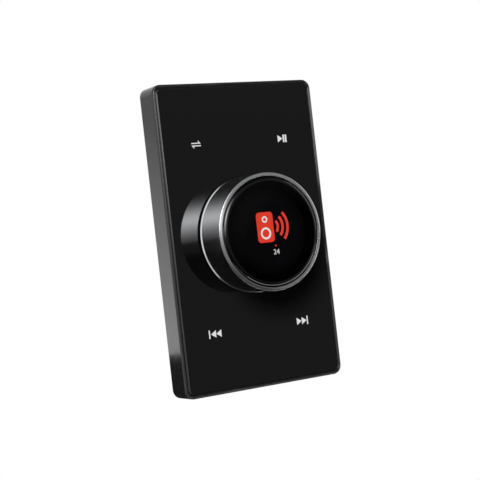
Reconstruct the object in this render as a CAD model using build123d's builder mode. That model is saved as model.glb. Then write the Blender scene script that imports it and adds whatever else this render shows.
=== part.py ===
from build123d import *
import os

os.makedirs("parts", exist_ok=True)

# In-wall amplifier: a glass wall plate with a round screen inside its volume knob.
# Millimetres, +Z up. The wall plane is y = 0 and the front faces -Y. "Height" is measured out of
# the wall, "depth" into it. The origin is the middle of the mounting holes on the wall plane.

# Wall plate
PLATE_W = 72.0
PLATE_H = 120.0
CORNER_R = 3.6
FRAME_WALL = 1.8
RIM_W = 1.2
RIM_ROUND = 0.5
DECK_T = 1.6
GLASS_T = 1.8
GLASS_PROUD = 0.45
GLASS_BEVEL = 0.6
GLASS_GAP = 0.15
TAPE_T = 0.2
TAPE_INSET = 1.0

# Touch keys
KEY_X = 20.0
KEY_Z = 36.6
FOAM_OUTER_R = 4.2
FOAM_INNER_R = 2.8
KEY_WINDOW_GAP = 0.4
LED_W = 2.0
LED_L = 1.2
LED_T = 0.8

# Knob
RING_R = 23.0
RING_WALL = 1.65
RING_RELIEF = 0.35
RING_BEVEL_W = 1.05
RING_BEVEL_H = 0.36
RING_BEAD_H = 0.5
RING_BEAD_BEVEL = 0.5
RING_BACK_BEVEL = 0.2
RING_STEP = 0.45
KNOB_GAP = 0.85
LENS_T = 2.0
LENS_PROUD = 0.45
LENS_EDGE_W = 1.8
LENS_EDGE_H = 1.3
LENS_GAP = 0.35
LENS_TAPE_T = 0.25
LENS_TAPE_INSET = 0.7
SCREEN_T = 2.6
SCREEN_GLASS_T = 0.8
SCREEN_FRAME_W = 0.6
SCREEN_BORDER = 1.2
SCREEN_GAP = 0.3
CUP_GAP = 0.95
CUP_WALL = 2.2
CUP_FLOOR_T = 1.6
STEM_R = 8.5
STEM_WALL = 2.5
STEM_TIP = 0.4
PRESS_TRAVEL = 0.45
KEYWAY_COUNT = 2
KEY_RIB_W = 2.0
KEY_RIB_DEPTH = 0.8

# Knob guide in the frame
BOSS_WALL = 2.0
BOSS_RISE = 1.0
BOSS_SKIRT = 0.7

# Ring bearing and retaining clips
BUSH_L = 6.1
BUSH_WALL = 1.6
BUSH_FLANGE_W = 1.5
BUSH_FLANGE_T = 1.2
CLIP_T = 0.6
CLIP_W = 2.3
CLIP_DEPTH = 0.8
CLIP_MOUTH_W = 9.0

# Ring carrier and code wheel
CARRIER_HUB_WALL = 1.8
CARRIER_NOSE_STEP = 0.8
CARRIER_WEB_T = 1.5
CARRIER_RIM_W = 1.2
CARRIER_RIM_H = 2.95
SPOKE_COUNT = 6
SPOKE_W = 3.0
SPOKE_MARGIN = 1.2
WHEEL_T = 0.5
WHEEL_SLOTS = 36
WHEEL_SLOT_W = 0.9
WHEEL_SLOT_L = 2.2
WHEEL_EDGE = 0.6
FORK_W = 8.0
FORK_ARM_T = 0.65
FORK_SPINE_T = 0.8
FORK_REACH = 3.6
ENCODER_BOARD_T = 1.0
STAKE_COUNT = 3
STAKE_R = 0.6
STAKE_RISE = 0.35

# Control board
BOARD_T = 1.2
BOARD_CLEAR = 1.6
BOARD_MARGIN_Z = 10.0
NOTCH_W = 16.0
NOTCH_INNER_Z = 34.5
POST_R = 2.4
POST_INSET = 5.0
POST_Z = 20.0
SWITCH_H = 0.8
SWITCH_W = 3.2
SWITCH_RADIAL = 2.1
SWITCH_COUNT = 3
SWITCH_FLOOR = 0.15
PLUNGER_R = 0.6
SOCKET_W = 10.2
SOCKET_L = 3.0
SOCKET_H = 1.8
SOCKET_FLOOR = 0.4
RIBBON_W = 8.0
RIBBON_T = 0.3
RIBBON_PLUG_L = 2.4
RIBBON_PLUG_H = 0.95
CHIP_Z = 26.0
CHIP_SIDE_X = 15.0
CONTROLLER_SIZE = 9.0
CONTROLLER_T = 1.2
SIDE_CHIP_SIZE = 5.0
SIDE_CHIP_T = 0.9
RADIO_W = 18.0
RADIO_L = 12.0
RADIO_T = 0.8
RADIO_CAN_W = 12.0
RADIO_CAN_L = 9.0
RADIO_CAN_H = 1.5
RADIO_Z = -26.0

# Mounting plate
MOUNT_T = 1.2
MOUNT_MARGIN = 1.2
MOUNT_CORNER_R = 3.0
MOUNT_SPACING = 83.3
MOUNT_SLOT_W = 4.0
MOUNT_SLOT_L = 8.0
LUG_Z = 30.0
LUG_W = 12.0
LUG_H = 4.2
LUG_T = 1.2
LUG_WINDOW_LOW = 1.0
LUG_WINDOW_H = 2.0
NIB_W = 7.0
NIB_BITE = 0.6

# Rear box
BOX_W = 45.0
BOX_H = 66.0
BOX_WALL = 1.6
BOX_CORNER_R = 2.5
COLUMN_R = 3.0
COLUMN_INSET = 2.4
COVER_T = 1.6
COVER_GAP = 3.3
COVER_LIP_W = 1.2
COVER_LIP_H = 1.5
VENT_W = 1.6
VENT_L = 9.0
VENT_PITCH = 4.0
TOP_VENTS = 3
SIDE_VENTS = 9

# Amplifier board
AMP_DEPTH = 17.0
AMP_T = 1.6
AMP_CHIP_W = 11.0
AMP_CHIP_L = 7.0
AMP_CHIP_T = 1.2
ROW_GAP = 2.0
SINK_W = 34.0
SINK_BASE_T = 2.0
SINK_FIN_H = 9.0
SINK_FIN_T = 1.2
SINK_FINS = 9
SINK_LEG_R = 1.5
SINK_LEG_X = 14.0
PART_PITCH = 8.6
PART_COUNT = 4
CAPACITOR_R = 3.15
CAPACITOR_H = 11.5
CAPACITOR_EDGE = 10.6
CAPACITOR_CRIMP = 0.35
CAPACITOR_CRIMP_H = 1.6
INDUCTOR_SIZE = 7.3
INDUCTOR_H = 4.2
INDUCTOR_EDGE = 0.9
LINK_EDGE = 8.6
LINK_PIN_COUNT = 8
LINK_PITCH = 2.54
LINK_W = 2.5
LINK_BODY_H = 2.5
LINK_PIN = 0.64
LINK_PIN_L = 9.3
LINK_SOCKET_H = 12.0
LINK_HOLE_DEPTH = 5.5

# Terminals
SPEAKER_WAY_COUNT = 4
SPEAKER_PITCH = 5.08
SUPPLY_WAY_COUNT = 2
SUPPLY_PITCH = 5.08
SUPPLY_X = -6.0
ANTENNA_WAY_COUNT = 2
ANTENNA_PITCH = 3.5
ANTENNA_X = 6.6
TERMINAL_EDGE = 15.1
TERMINAL_END = 1.0
TERMINAL_L = 9.0
TERMINAL_H = 12.0
TERMINAL_BEVEL = 2.0
WIRE_R = 1.3
WIRE_DEPTH = 6.0
WIRE_BELOW_TOP = 3.6
CLAMP_R = 1.4
CLAMP_H = 1.6
CLAMP_SINK = 0.4
CLAMP_SLOT_W = 0.5
CLAMP_SLOT_DEPTH = 0.5

# Screws: shank radius, head radius, head height and length under the head
BOARD_SCREW_R = 1.0
BOARD_SCREW_HEAD_R = 1.9
BOARD_SCREW_HEAD_H = 1.1
BOARD_SCREW_L = 3.4
PLATE_SCREW_R = 1.45
PLATE_SCREW_HEAD_R = 2.7
PLATE_SCREW_HEAD_H = 1.2
PLATE_SCREW_L = 8.0
AMP_SCREW_R = 1.2
AMP_SCREW_HEAD_R = 2.3
AMP_SCREW_HEAD_H = 1.3
AMP_SCREW_L = 6.5
COVER_SCREW_R = 1.2
COVER_SCREW_HEAD_R = 2.3
COVER_SCREW_HEAD_H = 1.4
COVER_SCREW_L = 8.0

# Clearances
SEAT = 0.05
RUN_FIT = 0.06
END_PLAY = 0.1
RUN_GAP = 0.35
STOP_GAP = 0.2
SIDE_GAP = 0.3
SCREW_GAP = 0.25
PILOT_EXTRA = 0.5

# Heights of the stack, from the wall outwards
board_back = MOUNT_T + BOARD_CLEAR
board_front = board_back + BOARD_T
stem_end = board_front + SWITCH_H + END_PLAY + PRESS_TRAVEL
hub_clip_back = stem_end + STEM_TIP
boss_back = hub_clip_back + CLIP_T + SEAT
deck_back = boss_back + BOSS_SKIRT
deck_front = deck_back + DECK_T
glass_back = deck_front + TAPE_T
glass_front = glass_back + GLASS_T
plate_front = glass_front - GLASS_PROUD
boss_front = glass_front + BOSS_RISE
ring_clip_back = boss_front + PRESS_TRAVEL + STOP_GAP
bush_back = ring_clip_back + CLIP_T
cup_back = bush_back + BUSH_L + BUSH_FLANGE_T
cup_floor = cup_back + CUP_FLOOR_T
cup_front = cup_floor + SCREEN_T
lens_back = cup_front + LENS_TAPE_T
lens_front = lens_back + LENS_T
ring_front = lens_front - LENS_PROUD
ring_back = glass_front + KNOB_GAP
carrier_back = bush_back + END_PLAY
carrier_front = bush_back + BUSH_L - END_PLAY
web_front = carrier_back + CARRIER_WEB_T
ring_shoulder = carrier_back + CARRIER_RIM_H
fork_back = web_front + RUN_GAP
wheel_back = fork_back + FORK_ARM_T + RUN_GAP
encoder_back = cup_back - ENCODER_BOARD_T

# Depths into the wall
amp_back = AMP_DEPTH + AMP_T
box_depth = amp_back + COVER_GAP
cover_back = box_depth + COVER_T
terminal_back = amp_back + TERMINAL_H

# Widths and radii
cavity_w = PLATE_W - 2 * FRAME_WALL
cavity_h = PLATE_H - 2 * FRAME_WALL
pocket_w = PLATE_W - 2 * RIM_W
pocket_h = PLATE_H - 2 * RIM_W
glass_w = pocket_w - 2 * GLASS_GAP
glass_h = pocket_h - 2 * GLASS_GAP
glass_corner = CORNER_R - RIM_W - GLASS_GAP
key_window_r = FOAM_OUTER_R + KEY_WINDOW_GAP
boss_bore_r = STEM_R + RUN_FIT
boss_r = boss_bore_r + BOSS_WALL
glass_hole_r = boss_r + SIDE_GAP
ring_wall_r = RING_R - RING_RELIEF
ring_bore_r = RING_R - RING_WALL
ring_seat_r = ring_bore_r + RING_STEP
lens_r = ring_bore_r - LENS_GAP
cup_r = ring_bore_r - CUP_GAP
cup_bore_r = cup_r - CUP_WALL
screen_r = cup_bore_r - SCREEN_GAP
screen_glass_r = screen_r - SCREEN_FRAME_W
stem_bore_r = STEM_R - STEM_WALL
clip_groove_r = STEM_R - CLIP_DEPTH
clip_inner_r = clip_groove_r + SEAT
bush_r = STEM_R + BUSH_WALL
bush_flange_r = bush_r + BUSH_FLANGE_W
carrier_bore_r = bush_r + RUN_FIT
carrier_hub_r = carrier_bore_r + CARRIER_HUB_WALL
carrier_nose_r = carrier_hub_r - CARRIER_NOSE_STEP
carrier_r = ring_seat_r - SEAT
carrier_rim_bore_r = carrier_r - CARRIER_RIM_W
fork_outer_r = carrier_rim_bore_r - RUN_GAP
fork_spine_r = fork_outer_r - FORK_SPINE_T
wheel_r = fork_spine_r - RUN_GAP
fork_inner_r = wheel_r - FORK_REACH
encoder_board_r = cup_r - SIDE_GAP
encoder_bore_r = bush_flange_r + SIDE_GAP
stake_ring_r = (encoder_board_r + encoder_bore_r) / 2
plunger_ring_r = STEM_R - STEM_WALL / 2
mount_w = cavity_w - 2 * MOUNT_MARGIN
mount_h = cavity_h - 2 * MOUNT_MARGIN
lug_x = (mount_w - LUG_T) / 2
board_w = mount_w - 2 * LUG_T - 2 * SIDE_GAP
board_h = cavity_h - 2 * BOARD_MARGIN_Z
post_x = board_w / 2 - POST_INSET
column_x = BOX_W / 2 - BOX_WALL - COLUMN_INSET
column_z = BOX_H / 2 - BOX_WALL - COLUMN_INSET
box_bore_w = BOX_W - 2 * BOX_WALL
box_bore_h = BOX_H - 2 * BOX_WALL
box_bore_corner = BOX_CORNER_R - BOX_WALL
amp_w = box_bore_w - 2 * SIDE_GAP
amp_h = box_bore_h - 2 * SIDE_GAP
capacitor_z = amp_h / 2 - CAPACITOR_EDGE
link_z = LINK_EDGE - amp_h / 2
link_l = LINK_PIN_COUNT * LINK_PITCH
inductor_z = link_z + (LINK_W + INDUCTOR_SIZE) / 2 + ROW_GAP
sink_top = capacitor_z - CAPACITOR_R - ROW_GAP
sink_bottom = inductor_z + INDUCTOR_SIZE / 2 + ROW_GAP
sink_l = sink_top - sink_bottom
sink_z = (sink_top + sink_bottom) / 2
terminal_z = amp_h / 2 - TERMINAL_EDGE

# Places of what repeats
KEY_PLACES = [(x, z) for x in (-KEY_X, KEY_X) for z in (-KEY_Z, KEY_Z)]
POST_PLACES = [(x, z) for x in (-post_x, post_x) for z in (-POST_Z, POST_Z)]
LUG_PLACES = [(x, z) for x in (-lug_x, lug_x) for z in (-LUG_Z, LUG_Z)]
COLUMN_PLACES = [(x, z) for x in (-column_x, column_x) for z in (-column_z, column_z)]
COVER_PLACES = [(0, -column_z), (0, column_z)]
PART_X = [(i - (PART_COUNT - 1) / 2) * PART_PITCH for i in range(PART_COUNT)]
# Terminals: node, ways, pitch, middle x, middle z and the side of the wires (+1 up, -1 down)
TERMINALS = [
    ("speaker_terminal", SPEAKER_WAY_COUNT, SPEAKER_PITCH, 0, -terminal_z, -1),
    ("supply_terminal", SUPPLY_WAY_COUNT, SUPPLY_PITCH, SUPPLY_X, terminal_z, 1),
    ("antenna_terminal", ANTENNA_WAY_COUNT, ANTENNA_PITCH, ANTENNA_X, terminal_z, 1),
]
LINK_PLACES = [((i - (LINK_PIN_COUNT - 1) / 2) * LINK_PITCH, link_z) for i in range(LINK_PIN_COUNT)]


def out(height):
    """Plane parallel to the wall at a height out of it, facing the room."""
    return Plane.XZ.offset(height)


def into(depth):
    """Plane parallel to the wall at a depth into it, facing further in."""
    return Plane((0, depth, 0), x_dir=(-1, 0, 0), z_dir=(0, 1, 0))


def level(z):
    """Level plane whose second axis points out of the wall; extrusions from it go down."""
    return Plane((0, 0, z), x_dir=(1, 0, 0), z_dir=(0, 0, -1))


def ways_x(ways, pitch, middle_x):
    """Middles of a terminal's ways along X."""
    return [middle_x + (i - (ways - 1) / 2) * pitch for i in range(ways)]


def flipped(places):
    """The same places as seen on a plane that faces into the wall."""
    return [(-x, z) for x, z in places]


# Front frame: walls, rim, deck, guide boss with key ribs, board posts and snap nibs
with BuildPart() as front_frame:
    with BuildSketch(out(0)):
        RectangleRounded(PLATE_W, PLATE_H, CORNER_R)
    extrude(amount=plate_front)
    fillet(front_frame.faces().sort_by(Axis.Y)[0].edges(), RIM_ROUND)
    with BuildSketch(out(0)):
        RectangleRounded(cavity_w, cavity_h, CORNER_R - FRAME_WALL)
    extrude(amount=deck_back, mode=Mode.SUBTRACT)
    with BuildSketch(out(deck_front)):
        RectangleRounded(pocket_w, pocket_h, CORNER_R - RIM_W)
    extrude(amount=plate_front - deck_front, mode=Mode.SUBTRACT)
    with BuildSketch(out(deck_back)):
        with Locations(*KEY_PLACES):
            Circle(key_window_r)
    extrude(amount=DECK_T, mode=Mode.SUBTRACT)
    with BuildSketch(out(boss_back)):
        Circle(boss_r)
    extrude(amount=boss_front - boss_back)
    with BuildSketch(out(boss_back)):
        Circle(boss_bore_r)
        with PolarLocations(boss_bore_r, KEYWAY_COUNT):
            Rectangle(2 * KEY_RIB_DEPTH, KEY_RIB_W, mode=Mode.SUBTRACT)
    extrude(amount=boss_front - boss_back, mode=Mode.SUBTRACT)
    with BuildSketch(out(board_front)):
        with Locations(*POST_PLACES):
            Circle(POST_R)
    extrude(amount=deck_back - board_front)
    with BuildSketch(out(board_front)):
        with Locations(*POST_PLACES):
            Circle(BOARD_SCREW_R + SEAT)
    extrude(amount=BOARD_SCREW_L - BOARD_T + PILOT_EXTRA, mode=Mode.SUBTRACT)
    nib_top = MOUNT_T + LUG_WINDOW_LOW + LUG_WINDOW_H - END_PLAY
    nib_low = MOUNT_T + LUG_WINDOW_LOW + END_PLAY
    nib_tip = mount_w / 2 - NIB_BITE
    for nib_z in (-LUG_Z, LUG_Z):
        with BuildSketch(level(nib_z + NIB_W / 2)):
            with BuildLine():
                Polyline(
                    (cavity_w / 2 + SEAT, nib_low),
                    (cavity_w / 2, nib_low),
                    (nib_tip, nib_top),
                    (cavity_w / 2 + SEAT, nib_top),
                    close=True,
                )
            make_face()
            mirror(about=Plane.YZ)
        extrude(amount=NIB_W)
front_frame.part.label = "front_frame"
export_step(front_frame.part, "parts/front_frame.step")

# Glass face with bevelled edges
with BuildPart() as glass_panel:
    with BuildSketch(out(glass_back)):
        RectangleRounded(glass_w, glass_h, glass_corner)
        Circle(glass_hole_r, mode=Mode.SUBTRACT)
    extrude(amount=GLASS_T)
    chamfer(glass_panel.faces().sort_by(Axis.Y)[0].outer_wire().edges(), GLASS_BEVEL)
glass_panel.part.label = "glass_panel"
export_step(glass_panel.part, "parts/glass_panel.step")

# Adhesive sheet between deck and glass
with BuildPart() as glass_tape:
    with BuildSketch(out(deck_front)):
        RectangleRounded(glass_w - 2 * TAPE_INSET, glass_h - 2 * TAPE_INSET, glass_corner - TAPE_INSET)
        Circle(glass_hole_r, mode=Mode.SUBTRACT)
        with Locations(*KEY_PLACES):
            Circle(key_window_r, mode=Mode.SUBTRACT)
    extrude(amount=TAPE_T)
glass_tape.part.label = "glass_tape"
export_step(glass_tape.part, "parts/glass_tape.step")

# Control board, notched where the mounting screws' heads stand
with BuildPart() as control_board:
    with BuildSketch(out(board_back)):
        Rectangle(board_w, board_h)
        for side in (-1, 1):
            with Locations((0, side * (NOTCH_INNER_Z + board_h / 2))):
                Rectangle(NOTCH_W, board_h, mode=Mode.SUBTRACT)
        with Locations(*POST_PLACES):
            Circle(BOARD_SCREW_R + SCREW_GAP, mode=Mode.SUBTRACT)
    extrude(amount=BOARD_T)
control_board.part.label = "control_board"
export_step(control_board.part, "parts/control_board.step")

# Controller and two smaller chips on the board's front
with BuildPart() as control_chips:
    with BuildSketch(out(board_front)):
        with Locations((0, CHIP_Z)):
            Rectangle(CONTROLLER_SIZE, CONTROLLER_SIZE)
    extrude(amount=CONTROLLER_T)
    with BuildSketch(out(board_front)):
        with Locations((-CHIP_SIDE_X, CHIP_Z), (CHIP_SIDE_X, CHIP_Z)):
            Rectangle(SIDE_CHIP_SIZE, SIDE_CHIP_SIZE)
    extrude(amount=SIDE_CHIP_T)
control_chips.part.label = "control_chips"
export_step(control_chips.part, "parts/control_chips.step")

# Wireless module: its own small board under a shield can
with BuildPart() as radio_module:
    with BuildSketch(out(board_front)):
        with Locations((0, RADIO_Z)):
            Rectangle(RADIO_W, RADIO_L)
    extrude(amount=RADIO_T)
    with BuildSketch(out(board_front + RADIO_T)):
        with Locations(((RADIO_CAN_W - RADIO_W) / 2 + SIDE_GAP, RADIO_Z)):
            Rectangle(RADIO_CAN_W, RADIO_CAN_L)
    extrude(amount=RADIO_CAN_H)
radio_module.part.label = "radio_module"
export_step(radio_module.part, "parts/radio_module.step")

# Conductive foam rings between the board and the glass
with BuildPart() as touch_rings:
    with BuildSketch(out(board_front)):
        with Locations(*KEY_PLACES):
            Circle(FOAM_OUTER_R)
            Circle(FOAM_INNER_R, mode=Mode.SUBTRACT)
    extrude(amount=glass_back - board_front)
touch_rings.part.label = "touch_rings"
export_step(touch_rings.part, "parts/touch_rings.step")

# Key lights inside the foam rings
with BuildPart() as key_leds:
    with BuildSketch(out(board_front)):
        with Locations(*KEY_PLACES):
            Rectangle(LED_W, LED_L)
    extrude(amount=LED_T)
key_leds.part.label = "key_leds"
export_step(key_leds.part, "parts/key_leds.step")

# Tact switches under the stem's end, open at the top for their plungers
with BuildPart() as press_switches:
    with BuildSketch(out(board_front)):
        with PolarLocations(plunger_ring_r, SWITCH_COUNT, start_angle=90):
            Rectangle(SWITCH_RADIAL, SWITCH_W)
    extrude(amount=SWITCH_H)
    with BuildSketch(out(board_front + SWITCH_FLOOR)):
        with PolarLocations(plunger_ring_r, SWITCH_COUNT, start_angle=90):
            Circle(PLUNGER_R + RUN_FIT)
    extrude(amount=SWITCH_H, mode=Mode.SUBTRACT)
press_switches.part.label = "press_switches"
export_step(press_switches.part, "parts/press_switches.step")

# Socket of the screen's ribbon
with BuildPart() as ribbon_socket:
    with BuildSketch(out(board_front)):
        Rectangle(SOCKET_W, SOCKET_L)
    extrude(amount=SOCKET_H)
    with BuildSketch(out(board_front + SOCKET_FLOOR)):
        Rectangle(RIBBON_W + 2 * SIDE_GAP, RIBBON_T + 2 * SIDE_GAP)
    extrude(amount=SOCKET_H, mode=Mode.SUBTRACT)
ribbon_socket.part.label = "ribbon_socket"
export_step(ribbon_socket.part, "parts/ribbon_socket.step")

# Pin header down to the amplifier board
with BuildPart() as link_header:
    with BuildSketch(out(board_back)):
        with Locations((0, link_z)):
            Rectangle(link_l, LINK_W)
    extrude(amount=-LINK_BODY_H)
    with BuildSketch(out(board_back - LINK_BODY_H)):
        with Locations(*LINK_PLACES):
            Rectangle(LINK_PIN, LINK_PIN)
    extrude(amount=-LINK_PIN_L)
link_header.part.label = "link_header"
export_step(link_header.part, "parts/link_header.step")

# Steel mounting plate with screw slots, link window and bent lugs for the frame's nibs
with BuildPart() as mounting_plate:
    with BuildSketch(out(0)):
        RectangleRounded(mount_w, mount_h, MOUNT_CORNER_R)
        with Locations((0, -MOUNT_SPACING / 2), (0, MOUNT_SPACING / 2)):
            SlotOverall(MOUNT_SLOT_L, MOUNT_SLOT_W, rotation=90, mode=Mode.SUBTRACT)
        with Locations((0, link_z)):
            Rectangle(link_l + 2 * LINK_PITCH, LINK_W + 2 * LINK_PITCH, mode=Mode.SUBTRACT)
        with Locations(*COLUMN_PLACES):
            Circle(PLATE_SCREW_R + SCREW_GAP, mode=Mode.SUBTRACT)
    extrude(amount=MOUNT_T)
    with BuildSketch(out(0)):
        with Locations(*LUG_PLACES):
            Rectangle(LUG_T, LUG_W)
    extrude(amount=MOUNT_T + LUG_H)
    with BuildSketch(out(MOUNT_T + LUG_WINDOW_LOW)):
        with Locations(*LUG_PLACES):
            Rectangle(2 * LUG_T, NIB_W + 2 * SIDE_GAP)
    extrude(amount=LUG_WINDOW_H, mode=Mode.SUBTRACT)
mounting_plate.part.label = "mounting_plate"
export_step(mounting_plate.part, "parts/mounting_plate.step")

# Rear box: a tube with screw columns in its corners, cover bosses and vents
with BuildPart() as rear_box:
    with BuildSketch(into(0)):
        RectangleRounded(BOX_W, BOX_H, BOX_CORNER_R)
        RectangleRounded(box_bore_w, box_bore_h, box_bore_corner, mode=Mode.SUBTRACT)
    extrude(amount=box_depth)
    with BuildSketch(into(0)):
        with Locations(*COLUMN_PLACES):
            Circle(COLUMN_R)
    extrude(amount=AMP_DEPTH)
    with BuildSketch(into(0)):
        with Locations(*COVER_PLACES):
            Circle(COLUMN_R)
    extrude(amount=box_depth)
    with BuildSketch(into(0)):
        with Locations(*COLUMN_PLACES):
            Circle(PLATE_SCREW_R + SEAT)
    extrude(amount=PLATE_SCREW_L - MOUNT_T + PILOT_EXTRA, mode=Mode.SUBTRACT)
    with BuildSketch(into(AMP_DEPTH)):
        with Locations(*COLUMN_PLACES):
            Circle(AMP_SCREW_R + SEAT)
    extrude(amount=-(AMP_SCREW_L - AMP_T + PILOT_EXTRA), mode=Mode.SUBTRACT)
    with BuildSketch(into(box_depth)):
        with Locations(*COVER_PLACES):
            Circle(COVER_SCREW_R + SEAT)
    extrude(amount=-(COVER_SCREW_L - COVER_T + PILOT_EXTRA), mode=Mode.SUBTRACT)
    with BuildSketch(Plane.XY.offset(-BOX_H / 2)):
        for side in (-1, 1):
            with Locations((side * column_x / 2, AMP_DEPTH / 2)):
                with GridLocations(VENT_PITCH, VENT_L, TOP_VENTS, 1):
                    Rectangle(VENT_W, VENT_L)
    extrude(amount=BOX_H, mode=Mode.SUBTRACT)
    with BuildSketch(Plane.YZ.offset(-BOX_W / 2)):
        with Locations((AMP_DEPTH / 2, 0)):
            with GridLocations(VENT_L, VENT_PITCH, 1, SIDE_VENTS):
                Rectangle(VENT_L, VENT_W)
    extrude(amount=BOX_W, mode=Mode.SUBTRACT)
rear_box.part.label = "rear_box"
export_step(rear_box.part, "parts/rear_box.step")

# Rear cover with a locating lip, terminal openings and screw holes
with BuildPart() as rear_cover:
    with BuildSketch(into(box_depth)):
        RectangleRounded(BOX_W, BOX_H, BOX_CORNER_R)
    extrude(amount=COVER_T)
    with BuildSketch(into(box_depth)):
        Rectangle(amp_w, amp_h)
        Rectangle(amp_w - 2 * COVER_LIP_W, amp_h - 2 * COVER_LIP_W, mode=Mode.SUBTRACT)
        with Locations(*COVER_PLACES):
            Circle(COLUMN_R + SIDE_GAP, mode=Mode.SUBTRACT)
    extrude(amount=-COVER_LIP_H)
    with BuildSketch(into(box_depth)):
        for node, ways, pitch, middle_x, middle_z, side in TERMINALS:
            with Locations(*flipped([(middle_x, middle_z)])):
                Rectangle(ways * pitch + TERMINAL_END + 2 * SIDE_GAP, TERMINAL_L + 2 * SIDE_GAP)
        with Locations(*COVER_PLACES):
            Circle(COVER_SCREW_R + SCREW_GAP)
    extrude(amount=COVER_T, mode=Mode.SUBTRACT)
rear_cover.part.label = "rear_cover"
export_step(rear_cover.part, "parts/rear_cover.step")

# Amplifier board on the box's columns
with BuildPart() as amp_board:
    with BuildSketch(into(AMP_DEPTH)):
        Rectangle(amp_w, amp_h)
        with Locations(*COVER_PLACES):
            Circle(COLUMN_R + SIDE_GAP, mode=Mode.SUBTRACT)
        with Locations(*COLUMN_PLACES):
            Circle(AMP_SCREW_R + SCREW_GAP, mode=Mode.SUBTRACT)
    extrude(amount=AMP_T)
amp_board.part.label = "amp_board"
export_step(amp_board.part, "parts/amp_board.step")

# Amplifier chip on the board's front side
with BuildPart() as amp_chip:
    with BuildSketch(into(AMP_DEPTH)):
        with Locations((0, sink_z)):
            Rectangle(AMP_CHIP_W, AMP_CHIP_L)
    extrude(amount=-AMP_CHIP_T)
amp_chip.part.label = "amp_chip"
export_step(amp_chip.part, "parts/amp_chip.step")

# Heat sink: base on the chip, upright fins and two legs on the board
with BuildPart() as heat_sink:
    sink_back = AMP_DEPTH - AMP_CHIP_T
    with BuildSketch(into(sink_back)):
        with Locations((0, sink_z)):
            Rectangle(SINK_W, sink_l)
    extrude(amount=-SINK_BASE_T)
    with BuildSketch(into(sink_back - SINK_BASE_T)):
        with Locations((0, sink_z)):
            with GridLocations((SINK_W - SINK_FIN_T) / (SINK_FINS - 1), sink_l, SINK_FINS, 1):
                Rectangle(SINK_FIN_T, sink_l)
    extrude(amount=-SINK_FIN_H)
    with BuildSketch(into(AMP_DEPTH)):
        with Locations((-SINK_LEG_X, sink_z), (SINK_LEG_X, sink_z)):
            Circle(SINK_LEG_R)
    extrude(amount=-AMP_CHIP_T)
heat_sink.part.label = "heat_sink"
export_step(heat_sink.part, "parts/heat_sink.step")

# Electrolytic capacitors with their crimped waist
with BuildPart() as filter_capacitors:
    with BuildSketch(into(AMP_DEPTH)):
        with Locations(*[(x, capacitor_z) for x in PART_X]):
            Circle(CAPACITOR_R)
    extrude(amount=-CAPACITOR_H)
    chamfer(filter_capacitors.faces().group_by(Axis.Y)[0].edges(), CAPACITOR_CRIMP)
    with BuildSketch(into(AMP_DEPTH - CAPACITOR_CRIMP_H)):
        with Locations(*[(x, capacitor_z) for x in PART_X]):
            Circle(CAPACITOR_R)
            Circle(CAPACITOR_R - CAPACITOR_CRIMP, mode=Mode.SUBTRACT)
    extrude(amount=-2 * CAPACITOR_CRIMP, mode=Mode.SUBTRACT)
filter_capacitors.part.label = "filter_capacitors"
export_step(filter_capacitors.part, "parts/filter_capacitors.step")

# Output inductors with cut corners
with BuildPart() as filter_inductors:
    with BuildSketch(into(AMP_DEPTH)) as inductor_outlines:
        with Locations(*[(x, inductor_z) for x in PART_X]):
            Rectangle(INDUCTOR_SIZE, INDUCTOR_SIZE)
        chamfer(inductor_outlines.vertices(), INDUCTOR_EDGE)
    extrude(amount=-INDUCTOR_H)
filter_inductors.part.label = "filter_inductors"
export_step(filter_inductors.part, "parts/filter_inductors.step")

# Tall socket that takes the header's pins
with BuildPart() as link_socket:
    with BuildSketch(into(AMP_DEPTH)):
        with Locations((0, link_z)):
            Rectangle(link_l, LINK_W)
    extrude(amount=-LINK_SOCKET_H)
    with BuildSketch(into(AMP_DEPTH - LINK_SOCKET_H)):
        with Locations(*LINK_PLACES):
            Rectangle(LINK_PIN + 2 * END_PLAY, LINK_PIN + 2 * END_PLAY)
    extrude(amount=LINK_HOLE_DEPTH, mode=Mode.SUBTRACT)
link_socket.part.label = "link_socket"
export_step(link_socket.part, "parts/link_socket.step")

# Screw terminals: wires enter at the side behind the cover, clamp screws face the rear
for node, ways, pitch, middle_x, middle_z, side in TERMINALS:
    way_places = flipped([(x, middle_z) for x in ways_x(ways, pitch, middle_x)])
    with BuildPart() as terminal:
        with BuildSketch(into(amp_back)):
            with Locations(*flipped([(middle_x, middle_z)])):
                Rectangle(ways * pitch + TERMINAL_END, TERMINAL_L)
        extrude(amount=TERMINAL_H)
        rear_edges = terminal.faces().sort_by(Axis.Y)[-1].edges().filter_by(Axis.X)
        chamfer(rear_edges.sort_by(Axis.Z)[-1 if side > 0 else 0], TERMINAL_BEVEL)
        with BuildSketch(into(terminal_back)):
            with Locations(*way_places):
                Circle(CLAMP_R + SEAT)
        extrude(amount=-(CLAMP_H + CLAMP_SINK), mode=Mode.SUBTRACT)
        wire_plane = Plane(
            (0, terminal_back - WIRE_BELOW_TOP - TERMINAL_BEVEL / 2, middle_z + side * TERMINAL_L / 2),
            x_dir=(1, 0, 0),
            z_dir=(0, 0, side),
        )
        with BuildSketch(wire_plane):
            with Locations(*[(x, 0) for x in ways_x(ways, pitch, middle_x)]):
                Circle(WIRE_R)
        extrude(amount=-WIRE_DEPTH, mode=Mode.SUBTRACT)
    terminal.part.label = node
    export_step(terminal.part, f"parts/{node}.step")

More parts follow.
